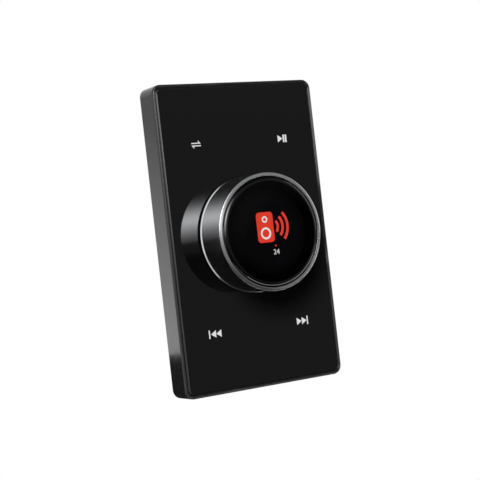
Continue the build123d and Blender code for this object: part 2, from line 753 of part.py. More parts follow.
# Slotted clamp screws of all the terminals
with BuildPart() as terminal_screws:
    for node, ways, pitch, middle_x, middle_z, side in TERMINALS:
        way_places = flipped([(x, middle_z) for x in ways_x(ways, pitch, middle_x)])
        with BuildSketch(into(terminal_back - CLAMP_SINK)):
            with Locations(*way_places):
                Circle(CLAMP_R)
        extrude(amount=-CLAMP_H)
        with BuildSketch(into(terminal_back - CLAMP_SINK)):
            with Locations(*way_places):
                Rectangle(2 * CLAMP_R, CLAMP_SLOT_W)
        extrude(amount=-CLAMP_SLOT_DEPTH, mode=Mode.SUBTRACT)
terminal_screws.part.label = "terminal_screws"
export_step(terminal_screws.part, "parts/terminal_screws.step")

# Pan-headed screws: node, shank radius, length, head radius and height, plane under the heads
# (the heads stand along its normal) and places
SCREW_SETS = [
    (
        "board_screws", BOARD_SCREW_R, BOARD_SCREW_L, BOARD_SCREW_HEAD_R, BOARD_SCREW_HEAD_H,
        into(-board_back), POST_PLACES,
    ),
    (
        "plate_screws", PLATE_SCREW_R, PLATE_SCREW_L, PLATE_SCREW_HEAD_R, PLATE_SCREW_HEAD_H,
        out(MOUNT_T), COLUMN_PLACES,
    ),
    (
        "amp_board_screws", AMP_SCREW_R, AMP_SCREW_L, AMP_SCREW_HEAD_R, AMP_SCREW_HEAD_H,
        into(amp_back), COLUMN_PLACES,
    ),
    (
        "cover_screws", COVER_SCREW_R, COVER_SCREW_L, COVER_SCREW_HEAD_R, COVER_SCREW_HEAD_H,
        into(cover_back), COVER_PLACES,
    ),
]
for node, shank_r, length, head_r, head_h, under_head, places in SCREW_SETS:
    with BuildPart() as screws:
        with BuildSketch(under_head):
            with Locations(*places):
                Circle(head_r)
        extrude(amount=head_h)
        with BuildSketch(under_head):
            with Locations(*places):
                Circle(shank_r)
        extrude(amount=-length)
        rims = screws.edges().filter_by(GeomType.CIRCLE).sort_by(SortBy.RADIUS)[-2 * len(places):]
        tops = rims.sort_by(lambda edge: under_head.to_local_coords(edge.center()).Z)[len(places):]
        chamfer(tops, head_h / 2)
    screws.part.label = node
    export_step(screws.part, f"parts/{node}.step")

# Knob hub: cup for the screen, hollow stem with clip grooves and keyways, stakes for the encoder board
with BuildPart() as knob_hub:
    with BuildSketch(out(cup_back)):
        Circle(cup_r)
    extrude(amount=cup_front - cup_back)
    with BuildSketch(out(cup_floor)):
        Circle(cup_bore_r)
    extrude(amount=SCREEN_T, mode=Mode.SUBTRACT)
    with BuildSketch(out(stem_end)):
        Circle(STEM_R)
    extrude(amount=cup_back - stem_end)
    with BuildSketch(out(stem_end)):
        Circle(stem_bore_r)
    extrude(amount=cup_floor - stem_end, mode=Mode.SUBTRACT)
    for groove_back in (hub_clip_back, ring_clip_back):
        with BuildSketch(out(groove_back - SEAT)):
            Circle(STEM_R)
            Circle(clip_groove_r, mode=Mode.SUBTRACT)
        extrude(amount=CLIP_T + 2 * SEAT, mode=Mode.SUBTRACT)
    with BuildSketch(out(stem_end)):
        with PolarLocations(STEM_R, KEYWAY_COUNT):
            Rectangle(2 * KEY_RIB_DEPTH, KEY_RIB_W + 2 * RUN_FIT)
    extrude(amount=ring_clip_back - stem_end, mode=Mode.SUBTRACT)
    with BuildSketch(out(cup_back)):
        with PolarLocations(stake_ring_r, STAKE_COUNT, start_angle=90):
            Circle(STAKE_R)
    extrude(amount=-(ENCODER_BOARD_T + STAKE_RISE))
knob_hub.part.label = "knob_hub"
export_step(knob_hub.part, "parts/knob_hub.step")

# Open clips in the stem's two grooves
for node, clip_back in (("hub_clip", hub_clip_back), ("ring_clip", ring_clip_back)):
    with BuildPart() as clip:
        with BuildSketch(out(clip_back)):
            Circle(clip_inner_r + CLIP_W)
            Circle(clip_inner_r, mode=Mode.SUBTRACT)
            with Locations((0, -STEM_R)):
                Rectangle(CLIP_MOUTH_W, STEM_R, mode=Mode.SUBTRACT)
        extrude(amount=CLIP_T)
    clip.part.label = node
    export_step(clip.part, f"parts/{node}.step")

# Flanged plain bearing on the stem
with BuildPart() as bearing_bush:
    with BuildSketch(out(bush_back)):
        Circle(bush_r)
    extrude(amount=BUSH_L)
    with BuildSketch(out(bush_back + BUSH_L)):
        Circle(bush_flange_r)
    extrude(amount=BUSH_FLANGE_T)
    with BuildSketch(out(bush_back)):
        Circle(STEM_R + SEAT)
    extrude(amount=BUSH_L + BUSH_FLANGE_T, mode=Mode.SUBTRACT)
bearing_bush.part.label = "bearing_bush"
export_step(bearing_bush.part, "parts/bearing_bush.step")

# Round screen: frame, front glass and the ribbon's plug on its back
with BuildPart() as display_module:
    with BuildSketch(out(cup_floor)):
        Circle(screen_r)
    extrude(amount=SCREEN_T - SCREEN_GLASS_T)
    with BuildSketch(out(cup_front - SCREEN_GLASS_T)):
        Circle(screen_glass_r)
    extrude(amount=SCREEN_GLASS_T)
    with BuildSketch(out(cup_floor)):
        Rectangle(RIBBON_W, RIBBON_PLUG_L)
    extrude(amount=-RIBBON_PLUG_H)
display_module.part.label = "display_module"
export_step(display_module.part, "parts/display_module.step")

# Ribbon from the screen's plug down to its socket, with room to move at the lower end
with BuildPart() as display_ribbon:
    ribbon_end = board_front + SOCKET_FLOOR + END_PLAY + PRESS_TRAVEL
    with BuildSketch(out(ribbon_end)):
        Rectangle(RIBBON_W, RIBBON_T)
    extrude(amount=cup_floor - RIBBON_PLUG_H - ribbon_end)
display_ribbon.part.label = "display_ribbon"
export_step(display_ribbon.part, "parts/display_ribbon.step")

# Adhesive ring under the lens
with BuildPart() as lens_tape:
    with BuildSketch(out(cup_front)):
        Circle(lens_r - LENS_TAPE_INSET)
        Circle(screen_glass_r - SCREEN_BORDER, mode=Mode.SUBTRACT)
    extrude(amount=LENS_TAPE_T)
lens_tape.part.label = "lens_tape"
export_step(lens_tape.part, "parts/lens_tape.step")

# Lens with a softly rounded front edge
with BuildPart() as display_lens:
    with BuildSketch(level(0)):
        with BuildLine():
            Polyline(
                (lens_r - LENS_EDGE_W, lens_front),
                (0, lens_front),
                (0, lens_back),
                (lens_r, lens_back),
                (lens_r, lens_front - LENS_EDGE_H),
            )
            EllipticalCenterArc(
                (lens_r - LENS_EDGE_W, lens_front - LENS_EDGE_H),
                LENS_EDGE_W,
                LENS_EDGE_H,
            )
        make_face()
    revolve(axis=Axis.Y)
display_lens.part.label = "display_lens"
export_step(display_lens.part, "parts/display_lens.step")

# Encoder board on the cup's stakes
with BuildPart() as encoder_board:
    with BuildSketch(out(encoder_back)):
        Circle(encoder_board_r)
        Circle(encoder_bore_r, mode=Mode.SUBTRACT)
        with PolarLocations(stake_ring_r, STAKE_COUNT, start_angle=90):
            Circle(STAKE_R + SEAT, mode=Mode.SUBTRACT)
    extrude(amount=ENCODER_BOARD_T)
encoder_board.part.label = "encoder_board"
export_step(encoder_board.part, "parts/encoder_board.step")

# Fork sensor whose arms reach round the code wheel's edge
with BuildPart() as encoder_sensor:
    with BuildSketch(out(fork_back)):
        Circle(fork_outer_r)
        Circle(fork_inner_r, mode=Mode.SUBTRACT)
        with Locations((fork_outer_r, 0)):
            Rectangle(fork_outer_r, FORK_W, mode=Mode.INTERSECT)
    extrude(amount=encoder_back - fork_back)
    with BuildSketch(out(wheel_back - RUN_GAP)):
        Circle(fork_spine_r)
    extrude(amount=WHEEL_T + 2 * RUN_GAP, mode=Mode.SUBTRACT)
encoder_sensor.part.label = "encoder_sensor"
export_step(encoder_sensor.part, "parts/encoder_sensor.step")

# Switch plungers held against the stem's end
with BuildPart() as switch_plungers:
    plunger_tip = board_front + SWITCH_FLOOR + SEAT + PRESS_TRAVEL
    with BuildSketch(out(plunger_tip)):
        with PolarLocations(plunger_ring_r, SWITCH_COUNT, start_angle=90):
            Circle(PLUNGER_R)
    extrude(amount=stem_end - plunger_tip)
switch_plungers.part.label = "switch_plungers"
export_step(switch_plungers.part, "parts/switch_plungers.step")

# Polished grip ring: bead at the back, relieved wall, sloping front rim and a step for its carrier
with BuildPart() as grip_ring:
    with BuildSketch(level(0)):
        with BuildLine():
            Polyline(
                (ring_seat_r, ring_back),
                (RING_R - RING_BACK_BEVEL, ring_back),
                (RING_R, ring_back + RING_BACK_BEVEL),
                (RING_R, ring_back + RING_BEAD_H),
                (ring_wall_r, ring_back + RING_BEAD_H + RING_BEAD_BEVEL),
                (ring_wall_r, ring_front - RING_BEVEL_H),
                (ring_wall_r - RING_BEVEL_W, ring_front),
                (ring_bore_r, ring_front),
                (ring_bore_r, ring_shoulder),
                (ring_seat_r, ring_shoulder),
                close=True,
            )
        make_face()
    revolve(axis=Axis.Y)
grip_ring.part.label = "grip_ring"
export_step(grip_ring.part, "parts/grip_ring.step")

# Spoked carrier: bearing tube, web and rim, with a nose for the code wheel
with BuildPart() as ring_carrier:
    with BuildSketch(out(carrier_back)):
        Circle(carrier_r)
    extrude(amount=CARRIER_WEB_T)
    with BuildSketch(out(carrier_back)):
        Circle(carrier_r)
        Circle(carrier_rim_bore_r, mode=Mode.SUBTRACT)
    extrude(amount=CARRIER_RIM_H)
    with BuildSketch(out(carrier_back)):
        Circle(carrier_hub_r)
    extrude(amount=wheel_back - carrier_back)
    with BuildSketch(out(wheel_back)):
        Circle(carrier_nose_r)
    extrude(amount=carrier_front - wheel_back)
    with BuildSketch(out(carrier_back)):
        Circle(carrier_bore_r)
    extrude(amount=carrier_front - carrier_back, mode=Mode.SUBTRACT)
    with BuildSketch(out(carrier_back)):
        Circle(carrier_rim_bore_r - SPOKE_MARGIN)
        Circle(carrier_hub_r + SPOKE_MARGIN, mode=Mode.SUBTRACT)
        with PolarLocations(carrier_r / 2, SPOKE_COUNT, start_angle=90):
            Rectangle(carrier_r, SPOKE_W, mode=Mode.SUBTRACT)
    extrude(amount=CARRIER_WEB_T, mode=Mode.SUBTRACT)
ring_carrier.part.label = "ring_carrier"
export_step(ring_carrier.part, "parts/ring_carrier.step")

# Slotted code wheel on the carrier's nose
with BuildPart() as code_wheel:
    with BuildSketch(out(wheel_back)):
        Circle(wheel_r)
        Circle(carrier_nose_r + SEAT, mode=Mode.SUBTRACT)
        with PolarLocations(wheel_r - WHEEL_EDGE - WHEEL_SLOT_L / 2, WHEEL_SLOTS):
            Rectangle(WHEEL_SLOT_L, WHEEL_SLOT_W, mode=Mode.SUBTRACT)
    extrude(amount=WHEEL_T)
code_wheel.part.label = "code_wheel"
export_step(code_wheel.part, "parts/code_wheel.step")
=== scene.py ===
"""Looks of an in-wall amplifier whose volume knob holds a round screen.

The packed solids are the frame. This file gives them their finishes, turns the polished ring and the
lens, draws the lit signs and the screen's picture, cuts the screws' recesses and sets the studio.
Everything is in metres: X to the right of the plate's face, -Y out of the wall, Z up.
"""
import math

import bmesh
import bpy
from bpy.props import FloatProperty, FloatVectorProperty, IntProperty, PointerProperty
from mathutils import Matrix, Vector


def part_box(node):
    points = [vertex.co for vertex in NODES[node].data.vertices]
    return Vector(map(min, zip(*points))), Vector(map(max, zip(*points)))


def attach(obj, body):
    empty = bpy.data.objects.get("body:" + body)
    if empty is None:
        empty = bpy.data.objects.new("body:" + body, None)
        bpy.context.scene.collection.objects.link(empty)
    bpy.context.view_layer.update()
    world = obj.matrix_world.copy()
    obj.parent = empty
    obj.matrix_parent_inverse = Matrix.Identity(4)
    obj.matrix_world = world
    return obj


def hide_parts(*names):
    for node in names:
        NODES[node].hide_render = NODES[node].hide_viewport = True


bl_info = {
    "name": "Wall Amplifier Looks",
    "version": (1, 0, 0),
    "blender": (4, 5, 0),
    "location": "View3D > Sidebar > Amplifier",
    "description": "Dresses an in-wall amplifier with a screen in its knob and sets its studio",
    "category": "Object",
}

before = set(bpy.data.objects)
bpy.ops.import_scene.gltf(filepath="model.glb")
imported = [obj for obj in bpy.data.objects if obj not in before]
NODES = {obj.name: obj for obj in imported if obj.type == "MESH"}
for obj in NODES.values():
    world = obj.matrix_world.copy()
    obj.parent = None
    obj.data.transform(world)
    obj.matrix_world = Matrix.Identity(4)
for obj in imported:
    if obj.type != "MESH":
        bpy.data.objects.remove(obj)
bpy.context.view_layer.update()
MM = 0.001
MICRON = 0.000001
RING_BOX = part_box("grip_ring")
LENS_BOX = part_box("display_lens")
FRAME_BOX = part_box("front_frame")
GLASS_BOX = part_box("glass_panel")
SCREEN_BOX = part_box("display_module")
COVER_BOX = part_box("rear_cover")
# Points that are nearer to each other than this are one point
SAME_POINT = 1e-7
# Radius of the circle that a profile is swept round
PATH_RADIUS = 1.0 * MM
# Height of the font's figures against its size
CAP_SHARE = 0.69
# Steps along the cards of the studio
CARD_STEPS = 24
# Power of a soft lamp for each square metre and unit of brightness
LAMP_POWER = 4.0


def length(label, text, default):
    """A size in metres for the sidebar."""
    return FloatProperty(name=label, description=text, default=default, unit="LENGTH", precision=5)


def colour(label, text, default):
    """A linear colour for the sidebar."""
    return FloatVectorProperty(
        name=label, description=text, default=default, subtype="COLOR", size=3, min=0.0, max=1.0
    )


def amount(label, text, default):
    """A plain number for the sidebar."""
    return FloatProperty(name=label, description=text, default=default, min=0.0)


def angle(label, text, degrees):
    """An angle for the sidebar, given in degrees."""
    return FloatProperty(name=label, description=text, default=math.radians(degrees), subtype="ANGLE")


class KnobSettings(bpy.types.PropertyGroup):
    """Sizes and colours of the turned ring and the lens."""

    ring_radius: length("Ring radius", "Radius over the bead at the ring's back", RING_BOX[1].x)
    ring_wall: length("Ring wall", "Thickness of the ring at its bead", 1.65 * MM)
    ring_relief: length("Wall relief", "How far the ring's wall lies behind its bead", 0.35 * MM)
    rim_width: length("Rim width", "Width of the crowned front rim", 1.05 * MM)
    rim_drop: length("Rim drop", "How far the crowned front rim falls back", 0.25 * MM)
    bead_height: length("Bead height", "Height of the bead", 0.5 * MM)
    bead_slope: length("Bead slope", "Height of the slope in front of the bead", 0.45 * MM)
    bead_back: length("Bead back edge", "Chamfer behind the bead", 0.2 * MM)
    seat_step: length("Seat step", "Step inside the ring for its carrier", 0.45 * MM)
    seat_depth: length("Seat depth", "Depth of that step", 4.45 * MM)
    ring_edge: length("Ring edge radius", "Small radius on the ring's turned edges", 0.035 * MM)
    ring_colour: colour("Ring colour", "Colour of the polished dark metal", (0.68, 0.69, 0.71))
    lens_edge_width: length("Lens edge width", "Width of the lens's rounded front edge", 1.8 * MM)
    lens_edge_drop: length("Lens edge drop", "How far that edge falls back", 1.3 * MM)
    lens_window: length("Lens window", "Radius of the clear middle, where the black print starts", 12.0 * MM)
    lens_fit: length("Lens fit", "How far the edge reaches past the solid towards the ring", 0.2 * MM)
    lens_corner: length("Lens corner radius", "Small radius on the lens's ground corners", 0.04 * MM)
    segments: IntProperty(
        name="Segments", description="Steps round the ring and the lens", default=240, min=24, max=512
    )


class PlateSettings(bpy.types.PropertyGroup):
    """Sizes and colours of the wall plate and its lit signs."""

    key_x: length("Key spacing X", "Half the spacing of the keys across the plate", 20.0 * MM)
    key_z: length("Key spacing Z", "Half the spacing of the keys along the plate", 36.6 * MM)
    sign_height: length("Sign height", "Height of the transport signs", 3.2 * MM)
    sign_bar: length("Sign bar", "Width of the bars in the signs", 0.54 * MM)
    sign_proud: length("Sign thickness", "How far a sign stands off the glass", 0.02 * MM)
    sign_colour: colour("Sign colour", "Colour of the lit signs", (0.72, 0.72, 0.72))
    glass_colour: colour("Glass colour", "Black print behind the glass", (0.0013, 0.0013, 0.0014))
    bevel_colour: colour("Bevel colour", "Ground edge of the glass", (0.014, 0.014, 0.0143))
    frame_colour: colour("Frame colour", "Glossy black of the frame's sides", (0.008, 0.008, 0.0083))
    rim_colour: colour("Rim colour", "Satin dark grey of the frame's front rim", (0.018, 0.018, 0.0184))
    corner_radius: length("Corner radius", "Radius of the plate's corners", 3.6 * MM)
    rim_crest: length("Rim crest", "How far in from the plate's edge the crowned rim is highest", 0.75 * MM)
    rim_width: length("Rim width", "Width of the crowned rim down to the groove round the glass", 1.3 * MM)
    rim_height: length("Rim height", "Height of the crowned rim", 0.95 * MM)
    rim_proud: length("Rim proud", "How far the crest stands in front of the glass", 0.05 * MM)
    groove_depth: length("Groove depth", "Depth of the groove between rim and glass", 0.5 * MM)


class ScreenSettings(bpy.types.PropertyGroup):
    """Picture on the round screen."""

    picture_x: length("Picture side", "Middle of the picture to the right of the knob's axis", 2.15 * MM)
    picture_z: length("Picture height", "Middle of the picture above the knob's axis", 1.8 * MM)
    cabinet_width: length("Cabinet width", "Width of the drawn loudspeaker", 7.4 * MM)
    cabinet_height: length("Cabinet height", "Height of the drawn loudspeaker", 11.6 * MM)
    label_height: length("Number height", "Height of the volume number", 1.95 * MM)
    label_z: length("Number place", "Foot of the volume number against the knob's axis", -8.85 * MM)
    dot_z: length("Dot place", "Middle of the dot against the knob's axis", -5.5 * MM)
    dot_radius: length("Dot radius", "Radius of the small red dot", 0.36 * MM)
    layer: length("Layer", "Thickness of each drawn layer", 0.02 * MM)
    level: IntProperty(name="Volume", description="Volume number on the screen", default=24, min=0, max=99)
    brightness: amount("Brightness", "Light of the pixels behind the smoked lens", 2.0)
    picture_colour: colour("Picture colour", "Lit red of the picture", (0.81, 0.044, 0.022))
    mark_colour: colour("Mark colour", "Lit white of the marks", (0.86, 0.86, 0.85))


class RearSettings(bpy.types.PropertyGroup):
    """Colours and small sizes of what is behind the plate."""

    recess_width: amount("Recess width", "Width of a screw's cross against its head", 0.3)
    recess_depth: amount("Recess depth", "Depth of a screw's cross against its head", 0.6)
    mark_size: length("Mark size", "Size of the polarity marks on the cover", 1.9 * MM)
    mark_bar: length("Mark bar", "Width of the polarity marks' bars", 0.45 * MM)
    mark_proud: length("Mark height", "How far the marks stand off the cover", 0.15 * MM)
    box_colour: colour("Box colour", "Moulded black of the box and cover", (0.02, 0.02, 0.021))
    terminal_colour: colour("Terminal colour", "Moulded green of the terminals", (0.02, 0.22, 0.085))
    board_colour: colour("Board colour", "Solder mask of the boards", (0.008, 0.085, 0.035))


class StageSettings(bpy.types.PropertyGroup):
    """Camera, lamps, floor and cards."""

    camera_place: FloatVectorProperty(
        name="Camera place", description="Where the camera stands", default=(-0.2561, -0.4330, -0.0037),
        subtype="TRANSLATION", unit="LENGTH", size=3, precision=4,
    )
    camera_turn: angle("Camera turn", "Turn of the camera to the right", 30.736)
    camera_tilt: angle("Camera tilt", "Upward tilt of the camera", 0.213)
    camera_roll: angle("Camera roll", "Roll of the camera", 6.43)
    camera_lens: amount("Lens", "Focal length in millimetres on a 36 mm sensor", 94.62)
    floor_z: length("Floor height", "Height of the floor", -0.6)
    ambient: amount("Ambient", "Soft light from all round", 0.25)
    key_radiance: amount("Key lamp", "Brightness of the key lamp", 10.5)
    mirror_radiance: amount("Mirrored lamp", "Brightest part of the lamp's soft image", 14.8)
    rim_radiance: amount("Rim light", "Brightest part of the light on the ring's rim", 1.1)
    low_radiance: amount("Low card", "Brightness of the card below", 6.0)
    side_radiance: amount("Side card", "Brightest part of the card beside", 4.0)
    rear_radiance: amount("Rear lamp", "Brightness of the lamp behind", 8.0)
    glow: amount("Glow", "Brightest part of the card on the left", 2.4)
    drape: amount("Drape", "Grey of the cloths in front", 0.2)
    dark: amount("Dark cards", "Grey of the dark cards", 0.04)


SETTINGS = {
    "amp_knob": KnobSettings,
    "amp_plate": PlateSettings,
    "amp_screen": ScreenSettings,
    "amp_rear": RearSettings,
    "amp_stage": StageSettings,
}


# Nodes and meshes


class Graph:
    """A node tree that is being built."""

    def __init__(self, tree):
        self.tree = tree

    def add(self, kind, inputs=None, **settings):
        """Adds a node, then links or sets its inputs by name or number."""
        made = self.tree.nodes.new(kind)
        for key, value in settings.items():
            setattr(made, key, value)
        for key, value in (inputs or {}).items():
            if isinstance(value, bpy.types.NodeSocket):
                self.tree.links.new(value, made.inputs[key])
            else:
                made.inputs[key].default_value = value
        return made

    def out(self, kind, inputs=None, **settings):
        """First output of a node that is added."""
        return self.add(kind, inputs, **settings).outputs[0]

    def computed(self, operation, first, second=0.0):
        """Result of a calculation with two numbers or sockets."""
        return self.out("ShaderNodeMath", {0: first, 1: second}, operation=operation)

    def seen_share(self):
        """1 for rays that see the background: from the camera, off gloss or through glass."""
        path = self.add("ShaderNodeLightPath").outputs
        seen = self.computed("MAXIMUM", path["Is Camera Ray"], path["Is Glossy Ray"])
        return self.computed("MAXIMUM", seen, path["Is Transmission Ray"])


def shown(name, data, material=None):
    """A new object for a mesh or a text, linked to the scene."""
    piece = bpy.data.objects.new(name, data)
    bpy.context.scene.collection.objects.link(piece)
    if material:
        data.materials.append(material)
    return piece


def as_plain_mesh(piece):
    """Turns a piece with modifiers, or a text, into a plain mesh piece of the same name."""
    bpy.context.view_layer.update()
    evaluated = piece.evaluated_get(bpy.context.evaluated_depsgraph_get())
    mesh = bpy.data.meshes.new_from_object(evaluated)
    if not mesh.vertices:
        raise RuntimeError(f"{piece.name} came out empty")
    if piece.type == "MESH":
        piece.modifiers.clear()
        piece.data = mesh
        return piece
    name = piece.name
    bpy.data.objects.remove(piece)
    return shown(name, mesh)


def close_up(mesh):
    """Merges doubles and points the faces outwards."""
    work = bmesh.new()
    work.from_mesh(mesh)
    bmesh.ops.remove_doubles(work, verts=work.verts, dist=SAME_POINT)
    bmesh.ops.recalc_face_normals(work, faces=work.faces)
    work.to_mesh(mesh)
    work.free()


def shade_turned(piece, sharp_angle=40.0):
    """Smooth shading that keeps wide faces flat and lets the small edge radii catch the light."""
    close_up(piece.data)
    piece.data.shade_smooth()
    piece.data.set_sharp_from_angle(angle=math.radians(sharp_angle))
    weighted = piece.modifiers.new("Weighted normals", "WEIGHTED_NORMAL")
    weighted.keep_sharp = True
    return as_plain_mesh(piece)


def profile_mesh(name, points, closed):
    """A chain of edges through (radius, height out of the wall), drawn flat for turning."""
    edges = [(i, i + 1) for i in range(len(points) - 1)]
    if closed:
        edges.append((len(points) - 1, 0))
    mesh = bpy.data.meshes.new(name)
    mesh.from_pydata([(radius, height, 0.0) for radius, height in points], edges, [])
    return mesh


def mesh_from(name, work):
    """A new mesh that takes over what was built."""
    mesh = bpy.data.meshes.new(name)
    work.to_mesh(mesh)
    work.free()
    return mesh


def thin_plate(name, outlines, back_y, front_y, material):
    """Thin plates with these outlines in X and Z; outlines that share edges become one plate."""
    work = bmesh.new()
    for outline in outlines:
        work.faces.new([work.verts.new((x, back_y, z)) for x, z in outline])
    bmesh.ops.remove_doubles(work, verts=work.verts, dist=SAME_POINT)
    grown = bmesh.ops.extrude_face_region(work, geom=work.faces[:])
    moved = [item for item in grown["geom"] if isinstance(item, bmesh.types.BMVert)]
    bmesh.ops.translate(work, vec=(0.0, front_y - back_y, 0.0), verts=moved)
    bmesh.ops.recalc_face_normals(work, faces=work.faces)
    return shown(name, mesh_from(name, work), material)


def loose_mesh(name, faces):
    """A mesh of separate faces that all have the same number of corners."""
    corners = len(faces[0])
    points = [point for face in faces for point in face]
    mesh = bpy.data.meshes.new(name)
    starts = range(0, len(points), corners)
    mesh.from_pydata(points, [], [tuple(range(start, start + corners)) for start in starts])
    return mesh


def sweep(start, stop, steps):
    """Angles from one to another, given in degrees."""
    return [math.radians(start + (stop - start) * i / steps) for i in range(steps + 1)]


def strip(first, second):
    """Faces between two rows of points."""
    return [[a, b, d, c] for a, b, c, d in zip(first, first[1:], second, second[1:])]


def bar(x, z, width, height):
    """Outline of an upright bar by its middle."""
    corners = ((-1, -1), (1, -1), (1, 1), (-1, 1))
    return [(x + side * width / 2, z + end * height / 2) for side, end in corners]


def arc(x, z, radius, start, stop, steps):
    """Points round a middle, between two angles in degrees."""
    return [(x + radius * math.cos(a), z + radius * math.sin(a)) for a in sweep(start, stop, steps)]


def band(x, z, inner, outer, start, stop, steps):
    """Outlines of a band round a middle, between two angles in degrees."""
    return strip(*(arc(x, z, radius, start, stop, steps) for radius in (inner, outer)))


def disc(x, z, radius, steps):
    """Outline of a round dot."""
    return arc(x, z, radius, 0.0, 360.0, steps)[:-1]


def rounded_rectangle(x, z, width, height, radius, steps):
    """Outline of a rectangle with rounded corners."""
    middles = bar(x, z, width - 2 * radius, height - 2 * radius)
    points = []
    for (corner_x, corner_z), start in zip(middles, (180.0, 270.0, 0.0, 90.0)):
        points += arc(corner_x, corner_z, radius, start, start + 90.0, steps)
    return points


def crown(start, end):
    """Points of a shallow crowned rim, steeper at its start than at its end."""
    bulge, steps = 0.22, 4
    wide, tall = end[0] - start[0], end[1] - start[1]
    shares = [i / steps for i in range(steps + 1)]
    return [(start[0] + wide * t, start[1] + tall * ((1.0 + bulge) * t - bulge * t * t)) for t in shares]


# Finishes


def shades(tint, low, high):
    """Two shades of a tint."""
    return [tuple(min(1.0, c * factor) for c in tint) for factor in (low, high)]


class Finish(Graph):
    """One procedural material, built up texture by texture on Object coordinates."""

    def __init__(self, name, **shader):
        self.material = bpy.data.materials.new(name)
        self.material.use_nodes = True
        super().__init__(self.material.node_tree)
        self.shader = self.tree.nodes["Principled BSDF"]
        self.place = self.add("ShaderNodeTexCoord").outputs["Object"]
        for socket, value in shader.items():
            self.shader.inputs[socket.replace("_", " ")].default_value = value

    def link(self, output, socket):
        """Links an output to one of the shader's sockets."""
        self.tree.links.new(output, self.shader.inputs[socket])

    def show(self, output):
        """Makes an output the surface in place of the shader."""
        self.tree.links.new(output, self.tree.nodes["Material Output"].inputs["Surface"])

    def stretched(self, scale):
        """Object coordinates times a scale for each axis."""
        return self.out("ShaderNodeMapping", {"Vector": self.place, "Scale": scale})

    def axes(self):
        """Object X, Y and Z one by one."""
        return self.add("ShaderNodeSeparateXYZ", {0: self.place}).outputs

    def on_face(self):
        """Object coordinates laid flat on a face parallel to the wall: X, Z, Y."""
        x, y, z = self.axes()
        return self.out("ShaderNodeCombineXYZ", {0: x, 1: z, 2: y})

    def depth(self):
        """Object Y alone."""
        return self.axes()[1]

    def reach(self, vector, middle=(0.0, 0.0, 0.0)):
        """Distance of a vector from a middle."""
        ends = {0: vector, 1: middle}
        return self.add("ShaderNodeVectorMath", ends, operation="DISTANCE").outputs["Value"]

    def radius(self):
        """Distance from the knob's axis."""
        return self.reach(self.stretched((1.0, 0.0, 1.0)))

    def round_the_axis(self, scale):
        """Radius and depth of a turned piece as texture coordinates."""
        joined = self.out("ShaderNodeCombineXYZ", {0: self.radius(), 1: self.depth()})
        return self.out("ShaderNodeMapping", {"Vector": joined, "Scale": scale})

    def noise(self, scale, vector=None, detail=2.0):
        """Soft noise."""
        return self.add(
            "ShaderNodeTexNoise", {"Vector": vector or self.place, "Scale": scale, "Detail": detail}
        ).outputs["Fac"]

    def bricks(self, scale, mortar, smooth, colours, size=(1.0, 1.0), offset=0.0):
        """Rows of cells on a face parallel to the wall, in two colours with a third between them."""
        first, second, between = ((*c, 1.0) for c in colours)
        return self.add(
            "ShaderNodeTexBrick",
            {
                "Vector": self.on_face(), "Scale": scale, "Mortar Size": mortar, "Mortar Smooth": smooth,
                "Brick Width": size[0], "Row Height": size[1],
                "Color1": first, "Color2": second, "Mortar": between,
            },
            offset=offset,
        ).outputs

    def span(self, value, low, high, start=0.3, stop=0.7):
        """Maps a texture's middle range to a range of values."""
        return self.out(
            "ShaderNodeMapRange",
            {"Value": value, "From Min": start, "From Max": stop, "To Min": low, "To Max": high},
        )

    def above(self, value, limit):
        """1 where a value is over a limit."""
        return self.computed("GREATER_THAN", value, limit)

    def mix(self, share, first, second):
        """Mixes two colours."""
        colours = [(*c, 1.0) if isinstance(c, (tuple, list)) else c for c in (first, second)]
        return self.add(
            "ShaderNodeMix", {0: share, 6: colours[0], 7: colours[1]}, data_type="RGBA"
        ).outputs[2]

    def coat(self, share, first, second):
        """Base colour from two colours."""
        self.link(self.mix(share, first, second), "Base Color")

    def mottle(self, tint, share, scale):
        """Base colour that wanders by a share round a tint."""
        self.coat(self.noise(scale, detail=4.0), *shades(tint, 1.0 - share, 1.0 + share))

    def spread(self, socket, value, low, high, start=0.3, stop=0.7):
        """Gives one of the shader's sockets a range of values."""
        self.link(self.span(value, low, high, start, stop), socket)

    def either(self, socket, share, first, second):
        """Gives one of the shader's sockets a first value at share 0 and a second at share 1."""
        self.spread(socket, share, first, second, 0.0, 1.0)

    def uneven(self, low, high, scale):
        """Roughness that varies over the surface."""
        self.spread("Roughness", self.noise(scale, detail=3.0), low, high)

    def relief(self, height, depth, strength=1.0):
        """Bumps of a depth."""
        self.link(
            self.out("ShaderNodeBump", {"Height": height, "Strength": strength, "Distance": depth}), "Normal"
        )

    def grain(self, scale, depth, strength=1.0):
        """Fine even bumps."""
        self.relief(self.noise(scale, detail=1.0), depth, strength)


def moulded(name, tint, roughness, grain, depth):
    """Moulded plastic with a spark-eroded grain."""
    made = Finish(name, IOR=1.5)
    made.mottle(tint, 0.12, 90.0)
    made.uneven(roughness - 0.05, roughness + 0.05, 260.0)
    made.grain(1.0 / grain, depth)
    return made.material


def brushed(name, tint, roughness, stretch, depth):
    """Metal with a fine texture, drawn out to lines along an axis whose scale is low."""
    made = Finish(name, Metallic=1.0)
    lines = made.noise(1.0, made.stretched(stretch), detail=3.0)
    made.coat(lines, *shades(tint, 0.88, 1.08))
    made.spread("Roughness", lines, roughness - 0.06, roughness + 0.08)
    made.relief(lines, depth)
    return made.material


def ring_metal(tint):
    """Polished dark metal with faint turning lines."""
    made = Finish("Polished ring metal", Metallic=1.0)
    lines = made.noise(1.0, made.round_the_axis((4000.0, 4000.0, 1.0)), detail=1.0)
    made.coat(lines, *shades(tint, 0.97, 1.03))
    made.uneven(0.15, 0.18, 140.0)
    made.relief(lines, 0.8 * MICRON, 0.3)
    return made.material


